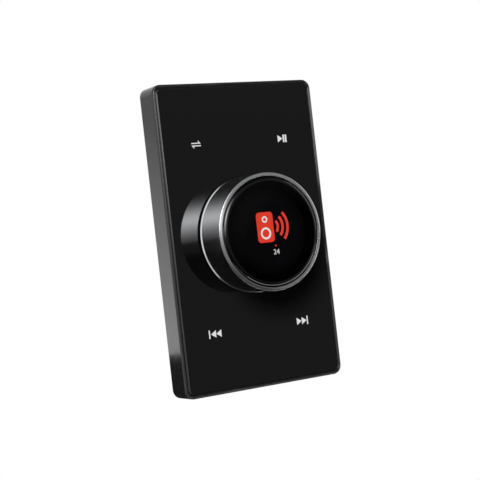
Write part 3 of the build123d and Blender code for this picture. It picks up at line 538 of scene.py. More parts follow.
def black_glass(tint, bevel_tint):
    """Glass with a black print behind it, the faintest smears and a finely ground edge."""
    made = Finish("Black glass", IOR=1.5)
    cloud = made.noise(35.0, detail=4.0)
    bevel_start, bevel_roughness = GLASS_BOX[0].y + 0.02 * MM, 0.16
    ground = made.above(made.depth(), bevel_start)
    made.coat(ground, *(made.mix(cloud, *shades(each, 0.94, 1.06)) for each in (tint, bevel_tint)))
    smear = made.span(made.noise(70.0, detail=3.0), 0.025, 0.05)
    made.link(made.out("ShaderNodeMix", {0: ground, 2: smear, 3: bevel_roughness}), "Roughness")
    made.grain(900.0, 0.2 * MICRON, 0.2)
    return made.material


def frame_plastic(name, tint, smooth, rough):
    """Black plastic, glossy or satin, with the faintest grain."""
    made = Finish(name, IOR=1.5, Specular_IOR_Level=0.4)
    made.mottle(tint, 0.08, 60.0)
    made.uneven(smooth, rough, 320.0)
    made.grain(2600.0, 1.2 * MICRON, 0.4)
    return made.material


def lens_glass(window):
    """Smoked polished lens with a black printed border and a trace of handling."""
    made = Finish("Lens glass", IOR=1.26, Transmission_Weight=1.0)
    clear = made.mix(made.noise(40.0), (0.43, 0.43, 0.435), (0.47, 0.47, 0.475))
    full_print = 1.5 * window
    print_share = made.span(made.radius(), 0.0, 1.0, window, full_print)
    made.coat(print_share, clear, (0.0005, 0.0005, 0.0005))
    made.uneven(0.0, 0.02, 90.0)
    made.grain(900.0, 0.1 * MICRON, 0.1)
    return made.material


def lens_border():
    """Black printed border of the lens, seen through its polished round edge."""
    made = Finish("Lens border", IOR=1.5)
    made.mottle((0.0008, 0.0008, 0.0008), 0.2, 60.0)
    made.uneven(0.03, 0.06, 120.0)
    made.grain(900.0, 0.2 * MICRON, 0.2)
    return made.material


def lit(name, tint, strength, pitch):
    """Lit print or pixels: even light, a little weaker between the dots."""
    made = Finish(name, IOR=1.5, Base_Color=(0.02, 0.02, 0.02, 1.0), Emission_Strength=strength)
    made.uneven(0.3, 0.4, 300.0)
    cells = made.bricks(1.0 / pitch, 0.06, 0.3, (tint, *shades(tint, 0.96, 0.82)))
    made.link(cells["Color"], "Emission Color")
    made.relief(cells["Fac"], 2 * MICRON, 0.3)
    return made.material


def screen_glass():
    """Dark screen: black glass with a fine grid of unlit dots, and dark grey sides."""
    made = Finish("Unlit screen", IOR=1.5, Specular_IOR_Level=0.0, Emission_Strength=1.0)
    dots = ((0.0006, 0.0006, 0.0007), (0.0005, 0.0005, 0.0006), (0.0009, 0.0009, 0.001))
    grid = made.bricks(6000.0, 0.08, 0.1, dots)
    edge = made.above(made.depth(), SCREEN_BOX[0].y + 0.9 * MM)
    made.coat(edge, grid["Color"], (0.05, 0.05, 0.052))
    made.either("Roughness", edge, 0.08, 0.4)
    made.link(made.mix(edge, (0.0042, 0.0042, 0.0052), (0.0, 0.0, 0.0)), "Emission Color")
    made.relief(grid["Fac"], 1 * MICRON, 0.2)
    return made.material


def circuit_board(tint):
    """Solder mask over copper tracks, with tinned pads and vias."""
    made = Finish("Circuit board", IOR=1.5)
    shares = ((0.0, 0.0, 0.0), (0.15, 0.15, 0.15), (1.0, 1.0, 1.0))
    tracks = made.bricks(520.0, 0.045, 0.1, shares, (1.9, 0.55), 0.5)
    cells = made.add("ShaderNodeTexVoronoi", {"Vector": made.on_face(), "Scale": 420.0, "Randomness": 0.35})
    pads = made.computed("LESS_THAN", cells.outputs["Distance"], 0.13)
    made.coat(pads, made.mix(tracks["Color"], *shades(tint, 1.0, 2.1)), (0.62, 0.6, 0.56))
    made.either("Metallic", pads, 0.0, 0.9)
    made.spread("Roughness", made.noise(700.0), 0.28, 0.4)
    made.relief(tracks["Fac"], 30 * MICRON, 0.6)
    return made.material


def spangled_steel():
    """Galvanised sheet with its crystal pattern."""
    made = Finish("Galvanised steel", Metallic=1.0)
    crystals = made.add("ShaderNodeTexVoronoi", {"Vector": made.place, "Scale": 260.0}).outputs["Color"]
    share = made.out("ShaderNodeSeparateColor", {0: crystals})
    made.coat(share, (0.47, 0.48, 0.5), (0.62, 0.63, 0.65))
    made.either("Roughness", share, 0.28, 0.46)
    made.relief(made.noise(1500.0), 4 * MICRON)
    return made.material


def foam():
    """Conductive foam with open cells."""
    made = Finish("Conductive foam", Roughness=0.95)
    cells = made.add("ShaderNodeTexVoronoi", {"Vector": made.place, "Scale": 3200.0}).outputs["Distance"]
    made.coat(cells, (0.02, 0.02, 0.022), (0.1, 0.1, 0.105))
    made.relief(cells, 80 * MICRON)
    return made.material


def adhesive():
    """Matt adhesive film."""
    made = Finish("Adhesive film")
    made.mottle((0.002, 0.002, 0.0021), 0.2, 180.0)
    made.uneven(0.75, 0.95, 500.0)
    made.relief(made.noise(1800.0), 10 * MICRON)
    return made.material


def two_tone(name, first, second, limit, metals, roughness):
    """A piece that changes material at a depth: metal and plastic in one solid."""
    made = Finish(name, IOR=1.5)
    deeper = made.above(made.depth(), limit)
    speckle = made.noise(900.0, detail=3.0)
    made.coat(deeper, *(made.mix(speckle, *shades(tint, 0.85, 1.15)) for tint in (first, second)))
    made.either("Metallic", deeper, *metals)
    made.either("Roughness", deeper, *roughness)
    made.relief(speckle, 8 * MICRON)
    return made.material


def striped(name, first, second, pitch, duty, roughness, metallic):
    """Parallel conductors or slots: two colours in stripes along X."""
    made = Finish(name, IOR=1.5, Roughness=roughness)
    turns = made.computed("MULTIPLY", made.axes()[0], 1.0 / pitch)
    stripe = made.above(made.computed("FRACT", turns), duty)
    made.coat(stripe, first, second)
    made.either("Metallic", stripe, 0.0, metallic)
    made.relief(stripe, 10 * MICRON, 0.5)
    return made.material


# Geometry node trees


class Shape(Graph):
    """A geometry node tree with geometry in and out, named inputs and a material."""

    def __init__(self, name, values):
        super().__init__(bpy.data.node_groups.new(name, "GeometryNodeTree"))
        sockets = self.tree.interface
        for way in ("INPUT", "OUTPUT"):
            sockets.new_socket("Geometry", in_out=way, socket_type="NodeSocketGeometry")
        for label, value in values.items():
            kind = "NodeSocketInt" if isinstance(value, int) else "NodeSocketFloat"
            sockets.new_socket(label, in_out="INPUT", socket_type=kind).default_value = value
        sockets.new_socket("Material", in_out="INPUT", socket_type="NodeSocketMaterial")
        self.given = self.tree.nodes.new("NodeGroupInput").outputs
        self.result = self.tree.nodes.new("NodeGroupOutput").inputs

    def merged(self, geometry):
        """Geometry without doubles."""
        return self.out("GeometryNodeMergeByDistance", {"Geometry": geometry, "Distance": SAME_POINT})

    def moved(self, geometry, **how):
        """Geometry with a translation or a rotation."""
        return self.out("GeometryNodeTransform", {"Geometry": geometry, **how})

    def turned(self, outline):
        """Sweeps an outline of (radius, height) round the axis; heights come out along -Z."""
        circle = {"Resolution": self.given["Segments"], "Radius": PATH_RADIUS}
        path = self.out("GeometryNodeCurvePrimitiveCircle", circle, mode="RADIUS")
        upright = self.out("GeometryNodeSetCurveNormal", {"Curve": path}, mode="Z_UP")
        inward = self.moved(outline, Translation=(-PATH_RADIUS, 0.0, 0.0))
        return self.out("GeometryNodeCurveToMesh", {"Curve": upright, "Profile Curve": inward})

    def finished(self, geometry):
        """The tree, ended in real geometry with its material."""
        real = self.merged(self.out("GeometryNodeRealizeInstances", {"Geometry": geometry}))
        coat = {"Geometry": real, "Material": self.given["Material"]}
        self.tree.links.new(self.out("GeometryNodeSetMaterial", coat), self.result["Geometry"])
        return self.tree


def turned_tree():
    """Turns a profile on the lathe, with a small radius on every edge."""
    shape = Shape("Turned part", {"Segments": 240, "Edge Radius": 0.07 * MM, "Edge Steps": 3})
    given = shape.given
    chain = shape.out("GeometryNodeMeshToCurve", {"Mesh": given["Geometry"]})
    eased = shape.out(
        "GeometryNodeFilletCurve",
        {"Curve": chain, "Count": given["Edge Steps"], "Radius": given["Edge Radius"], "Limit Radius": True},
        mode="POLY",
    )
    return shape.finished(shape.moved(shape.turned(eased), Rotation=(-math.pi / 2, 0.0, 0.0)))


def screw_tree():
    """Pan-headed screws with a cross recess, one on each point; heads stand along +Z."""
    shape = Shape(
        "Pan-head screws",
        {
            "Head Radius": 2.3 * MM, "Head Height": 1.4 * MM, "Shank Radius": 1.2 * MM,
            "Shank Length": 8.0 * MM, "Recess Width": 0.7 * MM, "Recess Depth": 0.8 * MM, "Segments": 40,
        },
    )
    given = shape.given

    def times(value, factor):
        return shape.computed("MULTIPLY", value, factor)

    def point(radius, height):
        return shape.out("ShaderNodeCombineXYZ", {0: radius, 1: height})

    def line(start, end):
        return shape.out("GeometryNodeCurvePrimitiveLine", {"Start": start, "End": end})

    head_radius, head_height = given["Head Radius"], given["Head Height"]
    shank_radius, foot = given["Shank Radius"], given["Shank Length"]
    top, side = times(head_height, -1.0), times(head_height, -0.35)
    flat_radius, tip_radius = times(head_radius, 0.45), times(shank_radius, 0.6)
    tip = shape.computed("SUBTRACT", foot, shank_radius)
    corners = [
        point(0.0, foot), point(tip_radius, foot), point(shank_radius, tip),
        point(shank_radius, 0.0), point(head_radius, 0.0), point(head_radius, side),
    ]
    flat_edge = point(flat_radius, top)
    dome = shape.out(
        "GeometryNodeCurveQuadraticBezier",
        {"Resolution": 8, "Start": corners[-1], "Middle": point(head_radius, top), "End": flat_edge},
    )
    joined = shape.add("GeometryNodeJoinGeometry")
    for part in (*map(line, corners, corners[1:]), dome, line(flat_edge, point(0.0, top))):
        shape.tree.links.new(part, joined.inputs[0])
    solid = shape.merged(shape.turned(joined.outputs[0]))
    wing = shape.out(
        "ShaderNodeCombineXYZ",
        {0: times(head_radius, 1.15), 1: given["Recess Width"], 2: times(given["Recess Depth"], 2.0)},
    )
    blade = shape.out("GeometryNodeMeshCube", {"Size": wing})
    crossed = shape.moved(blade, Rotation=(0.0, 0.0, math.pi / 2))
    raised = shape.out("ShaderNodeCombineXYZ", {2: head_height})
    cut = shape.add("GeometryNodeMeshBoolean", {"Mesh 1": solid}, operation="DIFFERENCE", solver="EXACT")
    for tool in (blade, crossed):
        shape.tree.links.new(shape.moved(tool, Translation=raised), cut.inputs["Mesh 2"])
    copies = {"Points": given["Geometry"], "Instance": cut.outputs[0]}
    return shape.finished(shape.out("GeometryNodeInstanceOnPoints", copies))


def grow(name, mesh, tree, values):
    """Runs a tree on a mesh with these named inputs and keeps the result as a plain mesh piece."""
    piece = shown(name, mesh)
    modifier = piece.modifiers.new("Shape", "NODES")
    modifier.node_group = tree
    for item in tree.interface.items_tree:
        if item.item_type == "SOCKET" and item.in_out == "INPUT" and item.name in values:
            modifier[item.identifier] = values[item.name]
    return as_plain_mesh(piece)


# Operators


class AMP_OT_ring(bpy.types.Operator):
    """Turn the polished grip ring"""

    bl_idname = "amp.ring"
    bl_label = "Grip Ring"

    def execute(self, context):
        knob = context.scene.amp_knob
        back, front = -RING_BOX[1].y, -RING_BOX[0].y
        wall_radius = knob.ring_radius - knob.ring_relief
        bore_radius = knob.ring_radius - knob.ring_wall
        seat_radius = bore_radius + knob.seat_step
        profile = [
            (seat_radius, back),
            (knob.ring_radius - knob.bead_back, back),
            (knob.ring_radius, back + knob.bead_back),
            (knob.ring_radius, back + knob.bead_height),
            (wall_radius, back + knob.bead_height + knob.bead_slope),
            *crown((wall_radius, front - knob.rim_drop), (wall_radius - knob.rim_width, front)),
            (bore_radius, front),
            (bore_radius, back + knob.seat_depth),
            (seat_radius, back + knob.seat_depth),
        ]
        metal = ring_metal(knob.ring_colour)
        ring = grow(
            "ring_shell", profile_mesh("ring_shell", profile, True), turned_tree(),
            {"Segments": knob.segments, "Edge Radius": knob.ring_edge, "Material": metal},
        )
        shade_turned(ring)
        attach(ring, "knob_ring")
        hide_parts("grip_ring")
        return {"FINISHED"}


class AMP_OT_lens(bpy.types.Operator):
    """Grind the round lens over the screen"""

    bl_idname = "amp.lens"
    bl_label = "Lens"

    def execute(self, context):
        knob = context.scene.amp_knob
        radius, back, front = LENS_BOX[1].x + knob.lens_fit, -LENS_BOX[1].y, -LENS_BOX[0].y
        wide, deep = knob.lens_edge_width, knob.lens_edge_drop
        turns = sweep(0.0, 90.0, 12)
        edge = [(radius - wide * (1 - math.cos(t)), front - deep * (1 - math.sin(t))) for t in turns]
        profile = [(0.0, back), (radius, back), *edge, (0.0, front)]
        lens = grow(
            "lens_shell", profile_mesh("lens_shell", profile, False), turned_tree(),
            {
                "Segments": knob.segments, "Edge Radius": knob.lens_corner, "Edge Steps": 2,
                "Material": lens_glass(knob.lens_window),
            },
        )
        shade_turned(lens)
        lens.data.materials.append(lens_border())
        for face in lens.data.polygons:
            face.material_index = int(math.hypot(face.center.x, face.center.z) > radius - wide)
        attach(lens, "knob_core")
        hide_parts("display_lens")
        return {"FINISHED"}


class AMP_OT_rim(bpy.types.Operator):
    """Shape the crowned rim round the glass"""

    bl_idname = "amp.rim"
    bl_label = "Crowned Rim"

    def execute(self, context):
        plate = context.scene.amp_plate
        crest, foot = plate.rim_crest, plate.rim_proud - plate.rim_height
        turns = sweep(0.0, 90.0, 6)
        profile = [(crest * (1 - math.cos(t)), foot + plate.rim_height * math.sin(t)) for t in turns]
        profile += [(plate.rim_width, -plate.groove_depth), (crest, -plate.groove_depth)]
        size = FRAME_BOX[1] - FRAME_BOX[0]
        corner_steps = 12
        work = bmesh.new()
        loops = []
        for inset, height in profile:
            outline = rounded_rectangle(
                0.0, 0.0, size.x - 2 * inset, size.z - 2 * inset, plate.corner_radius - inset, corner_steps
            )
            loops.append([work.verts.new((x, GLASS_BOX[0].y - height, z)) for x, z in outline])
        for here, there in zip(loops, loops[1:] + loops[:1]):
            for i in range(len(here)):
                work.faces.new([here[i - 1], here[i], there[i], there[i - 1]])
        satin = frame_plastic("Satin rim", plate.rim_colour, 0.15, 0.2)
        rim = shade_turned(shown("frame_rim", mesh_from("frame_rim", work), satin))
        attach(rim, "housing")
        return {"FINISHED"}


class AMP_OT_signs(bpy.types.Operator):
    """Draw the four lit key signs on the glass"""

    bl_idname = "amp.signs"
    bl_label = "Key Signs"

    def execute(self, context):
        plate = context.scene.amp_plate
        tall, line = plate.sign_height, plate.sign_bar
        wide, half, slip = 0.7 * tall, 0.45 * tall, 0.04 * tall

        def arrow(x, side):
            """Solid triangle that points to a side, by its flat edge."""
            return [(x, -half), (x + side * wide, 0.0), (x, half)]

        reach, low, rise, thin = 0.64 * tall, 0.09 * tall, 0.41 * tall, 0.13 * tall
        shoulder = reach - 0.85 * rise
        half_arrow = [
            (-reach, low), (reach, low),
            (shoulder, low + rise), (shoulder, low + thin), (-reach, low + thin),
        ]
        pause, pause_tall = 1.4 * line, 0.95 * tall
        play = -(wide + slip + 2.4 * pause) / 2
        first_bar = play + wide + slip + pause / 2
        stem = -(line + 4 * slip + 2 * wide) / 2
        tip = stem + line + 3 * slip
        begin = -(2 * wide + 2 * slip + line) / 2
        last_bar = begin + 2 * wide + 2 * slip + line / 2
        # Side of the plate across and along, shift to the right and up in millimetres, outlines
        signs = {
            "swap_sign": (-1, 1, 0.3, -0.25, [
                [(side * x, side * z) for x, z in half_arrow] for side in (1, -1)
            ]),
            "play_pause_sign": (1, 1, -0.3, 0.0, [
                arrow(play, 1),
                bar(first_bar, 0.0, pause, pause_tall),
                bar(first_bar + 1.4 * pause, 0.0, pause, pause_tall),
            ]),
            "previous_sign": (-1, -1, -0.65, 0.0, [
                bar(stem + line / 2, 0.0, line, tall),
                arrow(tip + wide, -1),
                arrow(tip + 2 * wide + slip, -1),
            ]),
            "next_sign": (1, -1, -0.4, 0.0, [
                arrow(begin, 1),
                arrow(begin + wide + slip, 1),
                bar(last_bar, 0.0, line, 1.05 * tall),
            ]),
        }
        print_light = lit("Lit sign print", plate.sign_colour, 1.0, 0.18 * MM)
        front = GLASS_BOX[0].y
        for name, (side_x, side_z, right, up, outlines) in signs.items():
            key_x, key_z = side_x * plate.key_x + right * MM, side_z * plate.key_z + up * MM
            placed = [[(x + key_x, z + key_z) for x, z in outline] for outline in outlines]
            sign = thin_plate(name, placed, front, front - plate.sign_proud, print_light)
            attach(sign, "housing")
        return {"FINISHED"}


class AMP_OT_picture(bpy.types.Operator):
    """Draw the loudspeaker picture, the dot and the volume number on the screen"""

    bl_idname = "amp.picture"
    bl_label = "Screen Picture"

    def execute(self, context):
        screen = context.scene.amp_screen
        front = SCREEN_BOX[0].y
        side, middle = screen.picture_x, screen.picture_z
        width, height = screen.cabinet_width, screen.cabinet_height
        cabinet_x = side - 0.52 * width
        wave_x, half_wave, half_turn = cabinet_x + 0.34 * width, 0.075, 42.0
        pixel = 0.15 * MM
        red = lit("Lit red pixels", screen.picture_colour, screen.brightness, pixel)
        white = lit("Lit white pixels", screen.mark_colour, screen.brightness, pixel)
        cabinet = rounded_rectangle(cabinet_x, middle, width, height, 0.18 * width, 8)
        waves = []
        for share in (0.42, 0.72, 1.02):
            inner, outer = (share - half_wave) * width, (share + half_wave) * width
            waves += band(wave_x, middle, inner, outer, -half_turn, half_turn, 24)
        woofer = band(cabinet_x, middle - 0.2 * height, 0.21 * width, 0.31 * width, 0.0, 360.0, 48)
        tweeter = band(cabinet_x, middle + 0.26 * height, 0.09 * width, 0.17 * width, 0.0, 360.0, 36)
        layers = (
            ("picture_cabinet", red, 0, [cabinet]),
            ("picture_waves", red, 0, waves),
            ("picture_dot", red, 0, [disc(side, screen.dot_z, screen.dot_radius, 24)]),
            ("picture_woofer", white, 1, woofer),
            ("picture_tweeter", white, 1, tweeter),
        )
        for name, light, level, outlines in layers:
            back = front - level * screen.layer
            piece = thin_plate(name, outlines, back, back - screen.layer, light)
            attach(piece, "knob_core")
        text = bpy.data.curves.new("volume_number", "FONT")
        text.body = str(screen.level)
        text.align_x = "CENTER"
        text.size = screen.label_height / CAP_SHARE
        text.extrude = screen.layer / 2
        number = as_plain_mesh(shown("volume_number", text))
        number.data.transform(
            Matrix.Translation((side, front - screen.layer / 2, screen.label_z))
            @ Matrix.Rotation(math.pi / 2, 4, "X")
        )
        close_up(number.data)
        number.data.materials.clear()
        number.data.materials.append(white)
        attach(number, "knob_core")
        return {"FINISHED"}


class AMP_OT_screws(bpy.types.Operator):
    """Make the four sets of pan-headed screws with cross recesses"""

    bl_idname = "amp.screws"
    bl_label = "Screws"

    def execute(self, context):
        rear = context.scene.amp_rear
        zinc = brushed("Zinc plate", (0.5, 0.5, 0.51), 0.34, (1500.0, 1500.0, 1500.0), 2 * MICRON)
        tree = screw_tree()
        # Node, way its heads face along Y, head radius and height, shank radius, sides across the plate
        sets = (
            ("cover_screws", 1, 2.3 * MM, 1.4 * MM, 1.2 * MM, (0,)),
            ("amp_board_screws", 1, 2.3 * MM, 1.3 * MM, 1.2 * MM, (-1, 1)),
            ("board_screws", 1, 1.9 * MM, 1.1 * MM, 1.0 * MM, (-1, 1)),
            ("plate_screws", -1, 2.7 * MM, 1.2 * MM, 1.45 * MM, (-1, 1)),
        )
        for node, facing, head_radius, head_height, shank_radius, sides in sets:
            low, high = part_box(node)
            under = high.y - head_height if facing > 0 else low.y + head_height
            shank = (under - low.y) if facing > 0 else (high.y - under)
            places = [
                (side * (high.x - head_radius), -facing * end * (high.z - head_radius), 0.0)
                for side in sides for end in (-1, 1)
            ]
            mesh = bpy.data.meshes.new(node)
            mesh.from_pydata(places, [], [])
            screws = grow(
                f"{node}_crossed", mesh, tree,
                {
                    "Head Radius": head_radius, "Head Height": head_height, "Shank Radius": shank_radius,
                    "Shank Length": shank, "Recess Width": rear.recess_width * head_radius,
                    "Recess Depth": rear.recess_depth * head_height, "Material": zinc,
                },
            )
            screws.data.transform(
                Matrix.Translation((0.0, under, 0.0)) @ Matrix.Rotation(-facing * math.pi / 2, 4, "X")
            )
            shade_turned(screws, 35.0)
            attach(screws, "housing")
            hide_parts(node)
        return {"FINISHED"}


class AMP_OT_marks(bpy.types.Operator):
    """Raise the polarity and aerial marks on the rear cover"""

    bl_idname = "amp.marks"
    bl_label = "Terminal Marks"

    def execute(self, context):
        rear = context.scene.amp_rear
        size, line = rear.mark_size, rear.mark_bar
        away, arm, ends = 1.6 * size, (size - line) / 2, 1.0 * MM
        outlines = []
        for node, ways, side in (("speaker_terminal", 4, -1), ("supply_terminal", 2, 1)):
            low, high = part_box(node)
            pitch = (high.x - low.x - ends) / ways
            z = (high.z if side > 0 else low.z) + side * away
            for way in range(ways):
                x = (low.x + high.x) / 2 + (way - (ways - 1) / 2) * pitch
                outlines.append(bar(x, z, size, line))
                if way % 2 == 0:
                    outlines += [bar(x, z + end * (line + arm) / 2, line, arm) for end in (1, -1)]
        low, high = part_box("antenna_terminal")
        x, z = (low.x + high.x) / 2, high.z + away
        fork, tips = z - 0.2 * size, z + 0.4 * size
        outlines.append(bar(x, z - 0.15 * size, line, 1.1 * size))
        for side in (-1, 1):
            near, far = x + side * line / 2, x + side * (line / 2 + 0.5 * size)
            outlines.append([
                (near, fork), (far, tips), (far - side * 0.8 * line, tips), (near, fork + 1.1 * line),
            ])
        back = COVER_BOX[1].y
        pale = moulded("Pale mark print", (0.5, 0.5, 0.5), 0.5, 0.2 * MM, 2 * MICRON)
        marks = thin_plate("terminal_marks", outlines, back, back + rear.mark_proud, pale)
        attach(marks, "housing")
        return {"FINISHED"}


class AMP_OT_finishes(bpy.types.Operator):
    """Give every solid that shows its procedural finish"""

    bl_idname = "amp.finishes"
    bl_label = "Finishes"

    def execute(self, context):
        plate, rear = context.scene.amp_plate, context.scene.amp_rear
        # Plastics: tint, roughness, size and depth of the grain
        box_plastic = moulded("Moulded black box", rear.box_colour, 0.55, 0.28 * MM, 12 * MICRON)
        hub_plastic = moulded("Moulded black hub", (0.014, 0.014, 0.0145), 0.5, 0.2 * MM, 6 * MICRON)
        carrier = moulded("Filled nylon", (0.028, 0.028, 0.03), 0.6, 0.35 * MM, 12 * MICRON)
        connector = moulded("Connector black", (0.018, 0.018, 0.019), 0.45, 0.2 * MM, 6 * MICRON)
        resin = moulded("Chip resin", (0.016, 0.016, 0.017), 0.62, 0.12 * MM, 8 * MICRON)
        terminal = moulded("Terminal green", rear.terminal_colour, 0.36, 0.4 * MM, 4 * MICRON)
        acetal = moulded("Natural acetal", (0.72, 0.72, 0.69), 0.42, 0.3 * MM, 4 * MICRON)
        ferrite = moulded("Ferrite", (0.055, 0.056, 0.06), 0.7, 0.16 * MM, 20 * MICRON)
        led_resin = moulded("Lamp resin", (0.78, 0.76, 0.62), 0.25, 0.4 * MM, 3 * MICRON)
        # Metals: tint, roughness, scale of the lines along each axis and their depth
        spring = brushed("Spring steel", (0.36, 0.36, 0.37), 0.3, (700.0, 700.0, 700.0), 2 * MICRON)
        zinc = brushed("Zinc clamp", (0.52, 0.52, 0.53), 0.32, (900.0, 900.0, 900.0), 2 * MICRON)
        extruded = brushed(
            "Extruded aluminium", (0.68, 0.69, 0.71), 0.34, (4200.0, 4200.0, 40.0), 4 * MICRON
        )
        board = circuit_board(rear.board_colour)
        film = adhesive()
        # Depths at which pieces made of two materials change
        can_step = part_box("radio_module")[1].y - 0.8 * MM
        switch_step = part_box("press_switches")[1].y - 0.3 * MM
        pin_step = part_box("link_header")[0].y + 2.5 * MM
        can_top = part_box("filter_capacitors")[0].y + 0.4 * MM
        finishes = {
            "front_frame": frame_plastic("Glossy frame", plate.frame_colour, 0.05, 0.08),
            "glass_panel": black_glass(plate.glass_colour, plate.bevel_colour),
            "glass_tape": film,
            "control_board": board,
            "control_chips": resin,
            "radio_module": two_tone(
                "Shielded module", (0.6, 0.6, 0.61), (0.01, 0.03, 0.09), can_step, (1.0, 0.0), (0.3, 0.4)
            ),
            "touch_rings": foam(),
            "key_leds": led_resin,
            "press_switches": two_tone(
                "Switch can", (0.6, 0.6, 0.6), (0.03, 0.03, 0.03), switch_step, (1.0, 0.0), (0.3, 0.5)
            ),
            "ribbon_socket": connector,
            "link_header": two_tone(
                "Pin header", (0.02, 0.02, 0.021), (0.75, 0.52, 0.2), pin_step, (0.0, 1.0), (0.5, 0.25)
            ),
            "mounting_plate": spangled_steel(),
            "rear_box": box_plastic,
            "rear_cover": box_plastic,
            "amp_board": board,
            "amp_chip": resin,
            "heat_sink": extruded,
            "filter_capacitors": two_tone(
                "Capacitor sleeve", (0.7, 0.7, 0.71), (0.012, 0.012, 0.03), can_top, (1.0, 0.0), (0.3, 0.28)
            ),
            "filter_inductors": ferrite,
            "link_socket": connector,
            "speaker_terminal": terminal,
            "supply_terminal": terminal,
            "antenna_terminal": terminal,
            "terminal_screws": zinc,
            "knob_hub": hub_plastic,
            "hub_clip": spring,
            "ring_clip": spring,
            "bearing_bush": acetal,
            "display_module": screen_glass(),
            "lens_tape": film,
            "display_ribbon": striped(
                "Ribbon film", (0.34, 0.14, 0.02), (0.6, 0.3, 0.1), 0.5 * MM, 0.45, 0.35, 0.6
            ),
            "encoder_board": board,
            "encoder_sensor": connector,
            "switch_plungers": acetal,
            "ring_carrier": carrier,
            "code_wheel": striped(
                "Code wheel film", (0.012, 0.012, 0.012), (0.03, 0.03, 0.032), 0.4 * MM, 0.5, 0.2, 0.0
            ),
        }
        hidden = {name for name, node in NODES.items() if node.hide_render}
        bare = sorted(set(NODES) - hidden - set(finishes))
        if bare:
            raise RuntimeError(f"no finish for {bare}")
        for name, material in finishes.items():
            NODES[name].material_slots[0].material = material
        return {"FINISHED"}


def towards(turn, tilt):
    """Direction from the object: 0 is straight out of the wall, positive turns to the right."""
    return Vector((math.sin(turn) * math.cos(tilt), -math.cos(turn) * math.cos(tilt), math.sin(tilt)))


def soft_lamp(name, turn, tilt, distance, size, radiance):
    """A rectangular soft lamp that faces the object and leaves no mirror image in it."""
    lamp = bpy.data.lights.new(name, "AREA")
    lamp.shape = "RECTANGLE"
    lamp.size, lamp.size_y = size
    lamp.energy = LAMP_POWER * size[0] * size[1] * radiance
    place = towards(math.radians(turn), math.radians(tilt)) * distance
    facing = (-place).to_track_quat("-Z", "Y").to_matrix().to_4x4()
    lit_from = bpy.data.objects.new(name, lamp)
    lit_from.matrix_world = Matrix.Translation(place) @ facing
    lit_from.visible_glossy = False
    bpy.context.scene.collection.objects.link(lit_from)


def wall_round(turns, foot, top):
    """Faces of a wall between two turns in degrees, from one radius and height to another."""
    ways = [towards(turn, 0.0) for turn in sweep(*turns, CARD_STEPS)]
    return strip(*([(way.x * radius, way.y * radius, z) for way in ways] for radius, z in (foot, top)))


def edge_image(view, turns, slopes, distance):
    """Faces of what a round edge mirrors to a view, between two turns and two slopes in degrees."""
    rims = []
    for slope in map(math.radians, slopes):
        flat, rise = math.cos(slope), math.sin(slope)
        ways = sweep(*turns, CARD_STEPS)
        normals = [Vector((flat * math.cos(way), -rise, flat * math.sin(way))) for way in ways]
        rims.append([tuple((2.0 * view.dot(normal) * normal - view) * distance) for normal in normals])
    return strip(*rims)


def level_disc(radius, z, steps):
    """A round face at a height."""
    return [[(x, y, z) for x, y in disc(0.0, 0.0, radius, steps)]]


def card(name, faces, material):
    """A card or cloth that only polished and clear surfaces show, so that it shades and lights nothing."""
    piece = shown(name, loose_mesh(name, faces), material)
    piece.visible_camera = piece.visible_diffuse = piece.visible_shadow = False


def glowing(name, low_z, high_z, low, high, painted_shadow=None):
    """Light whose brightness changes with height, darkened by a soft round patch of painted shadow if one is
    given.
    """
    made = Finish(name)
    shade = made.span(made.axes()[2], low, high, low_z, high_z)
    if painted_shadow:
        (x, y, z), inner, outer, flatten, darkest = painted_shadow
        away = made.reach(made.stretched((1.0, 1.0, flatten)), (x, y, z * flatten))
        shade = made.computed("MULTIPLY", shade, made.span(away, darkest, 1.0, inner, outer))
    made.show(made.out("ShaderNodeEmission", {"Strength": shade}))
    return made.material


def even(name, radiance):
    """Light of the same brightness all over."""
    return glowing(name, 0.0, 1.0, radiance, radiance)


def soft_image(name, middle, width, power, radiance):
    """Light that fades away from a middle and lets through what is behind it."""
    made = Finish(name)
    share = made.computed("DIVIDE", made.reach(made.place, middle), width)
    fade = made.computed("POWER", math.exp(-1.0), made.computed("POWER", share, power))
    glow = made.out("ShaderNodeEmission", {"Strength": made.computed("MULTIPLY", fade, radiance)})
    clear = made.out("ShaderNodeBsdfTransparent")
    made.show(made.out("ShaderNodeAddShader", {0: glow, 1: clear}))
    return made.material


def soft_card(name, turn, tilt, width, power, radiance):
    """A see-through card at a turn and tilt in degrees, with a soft light in its middle."""
    distance, half = 1.2, 0.75
    way = towards(math.radians(turn), math.radians(tilt))
    side = Vector((-way.y, way.x, 0.0)).normalized()
    up = way.cross(side).normalized()
    middle = way * distance
    corners = [tuple(middle + side * x + up * z) for x, z in bar(0.0, 0.0, 2 * half, 2 * half)]
    card(name, [corners], soft_image(name, middle, width, power, radiance))


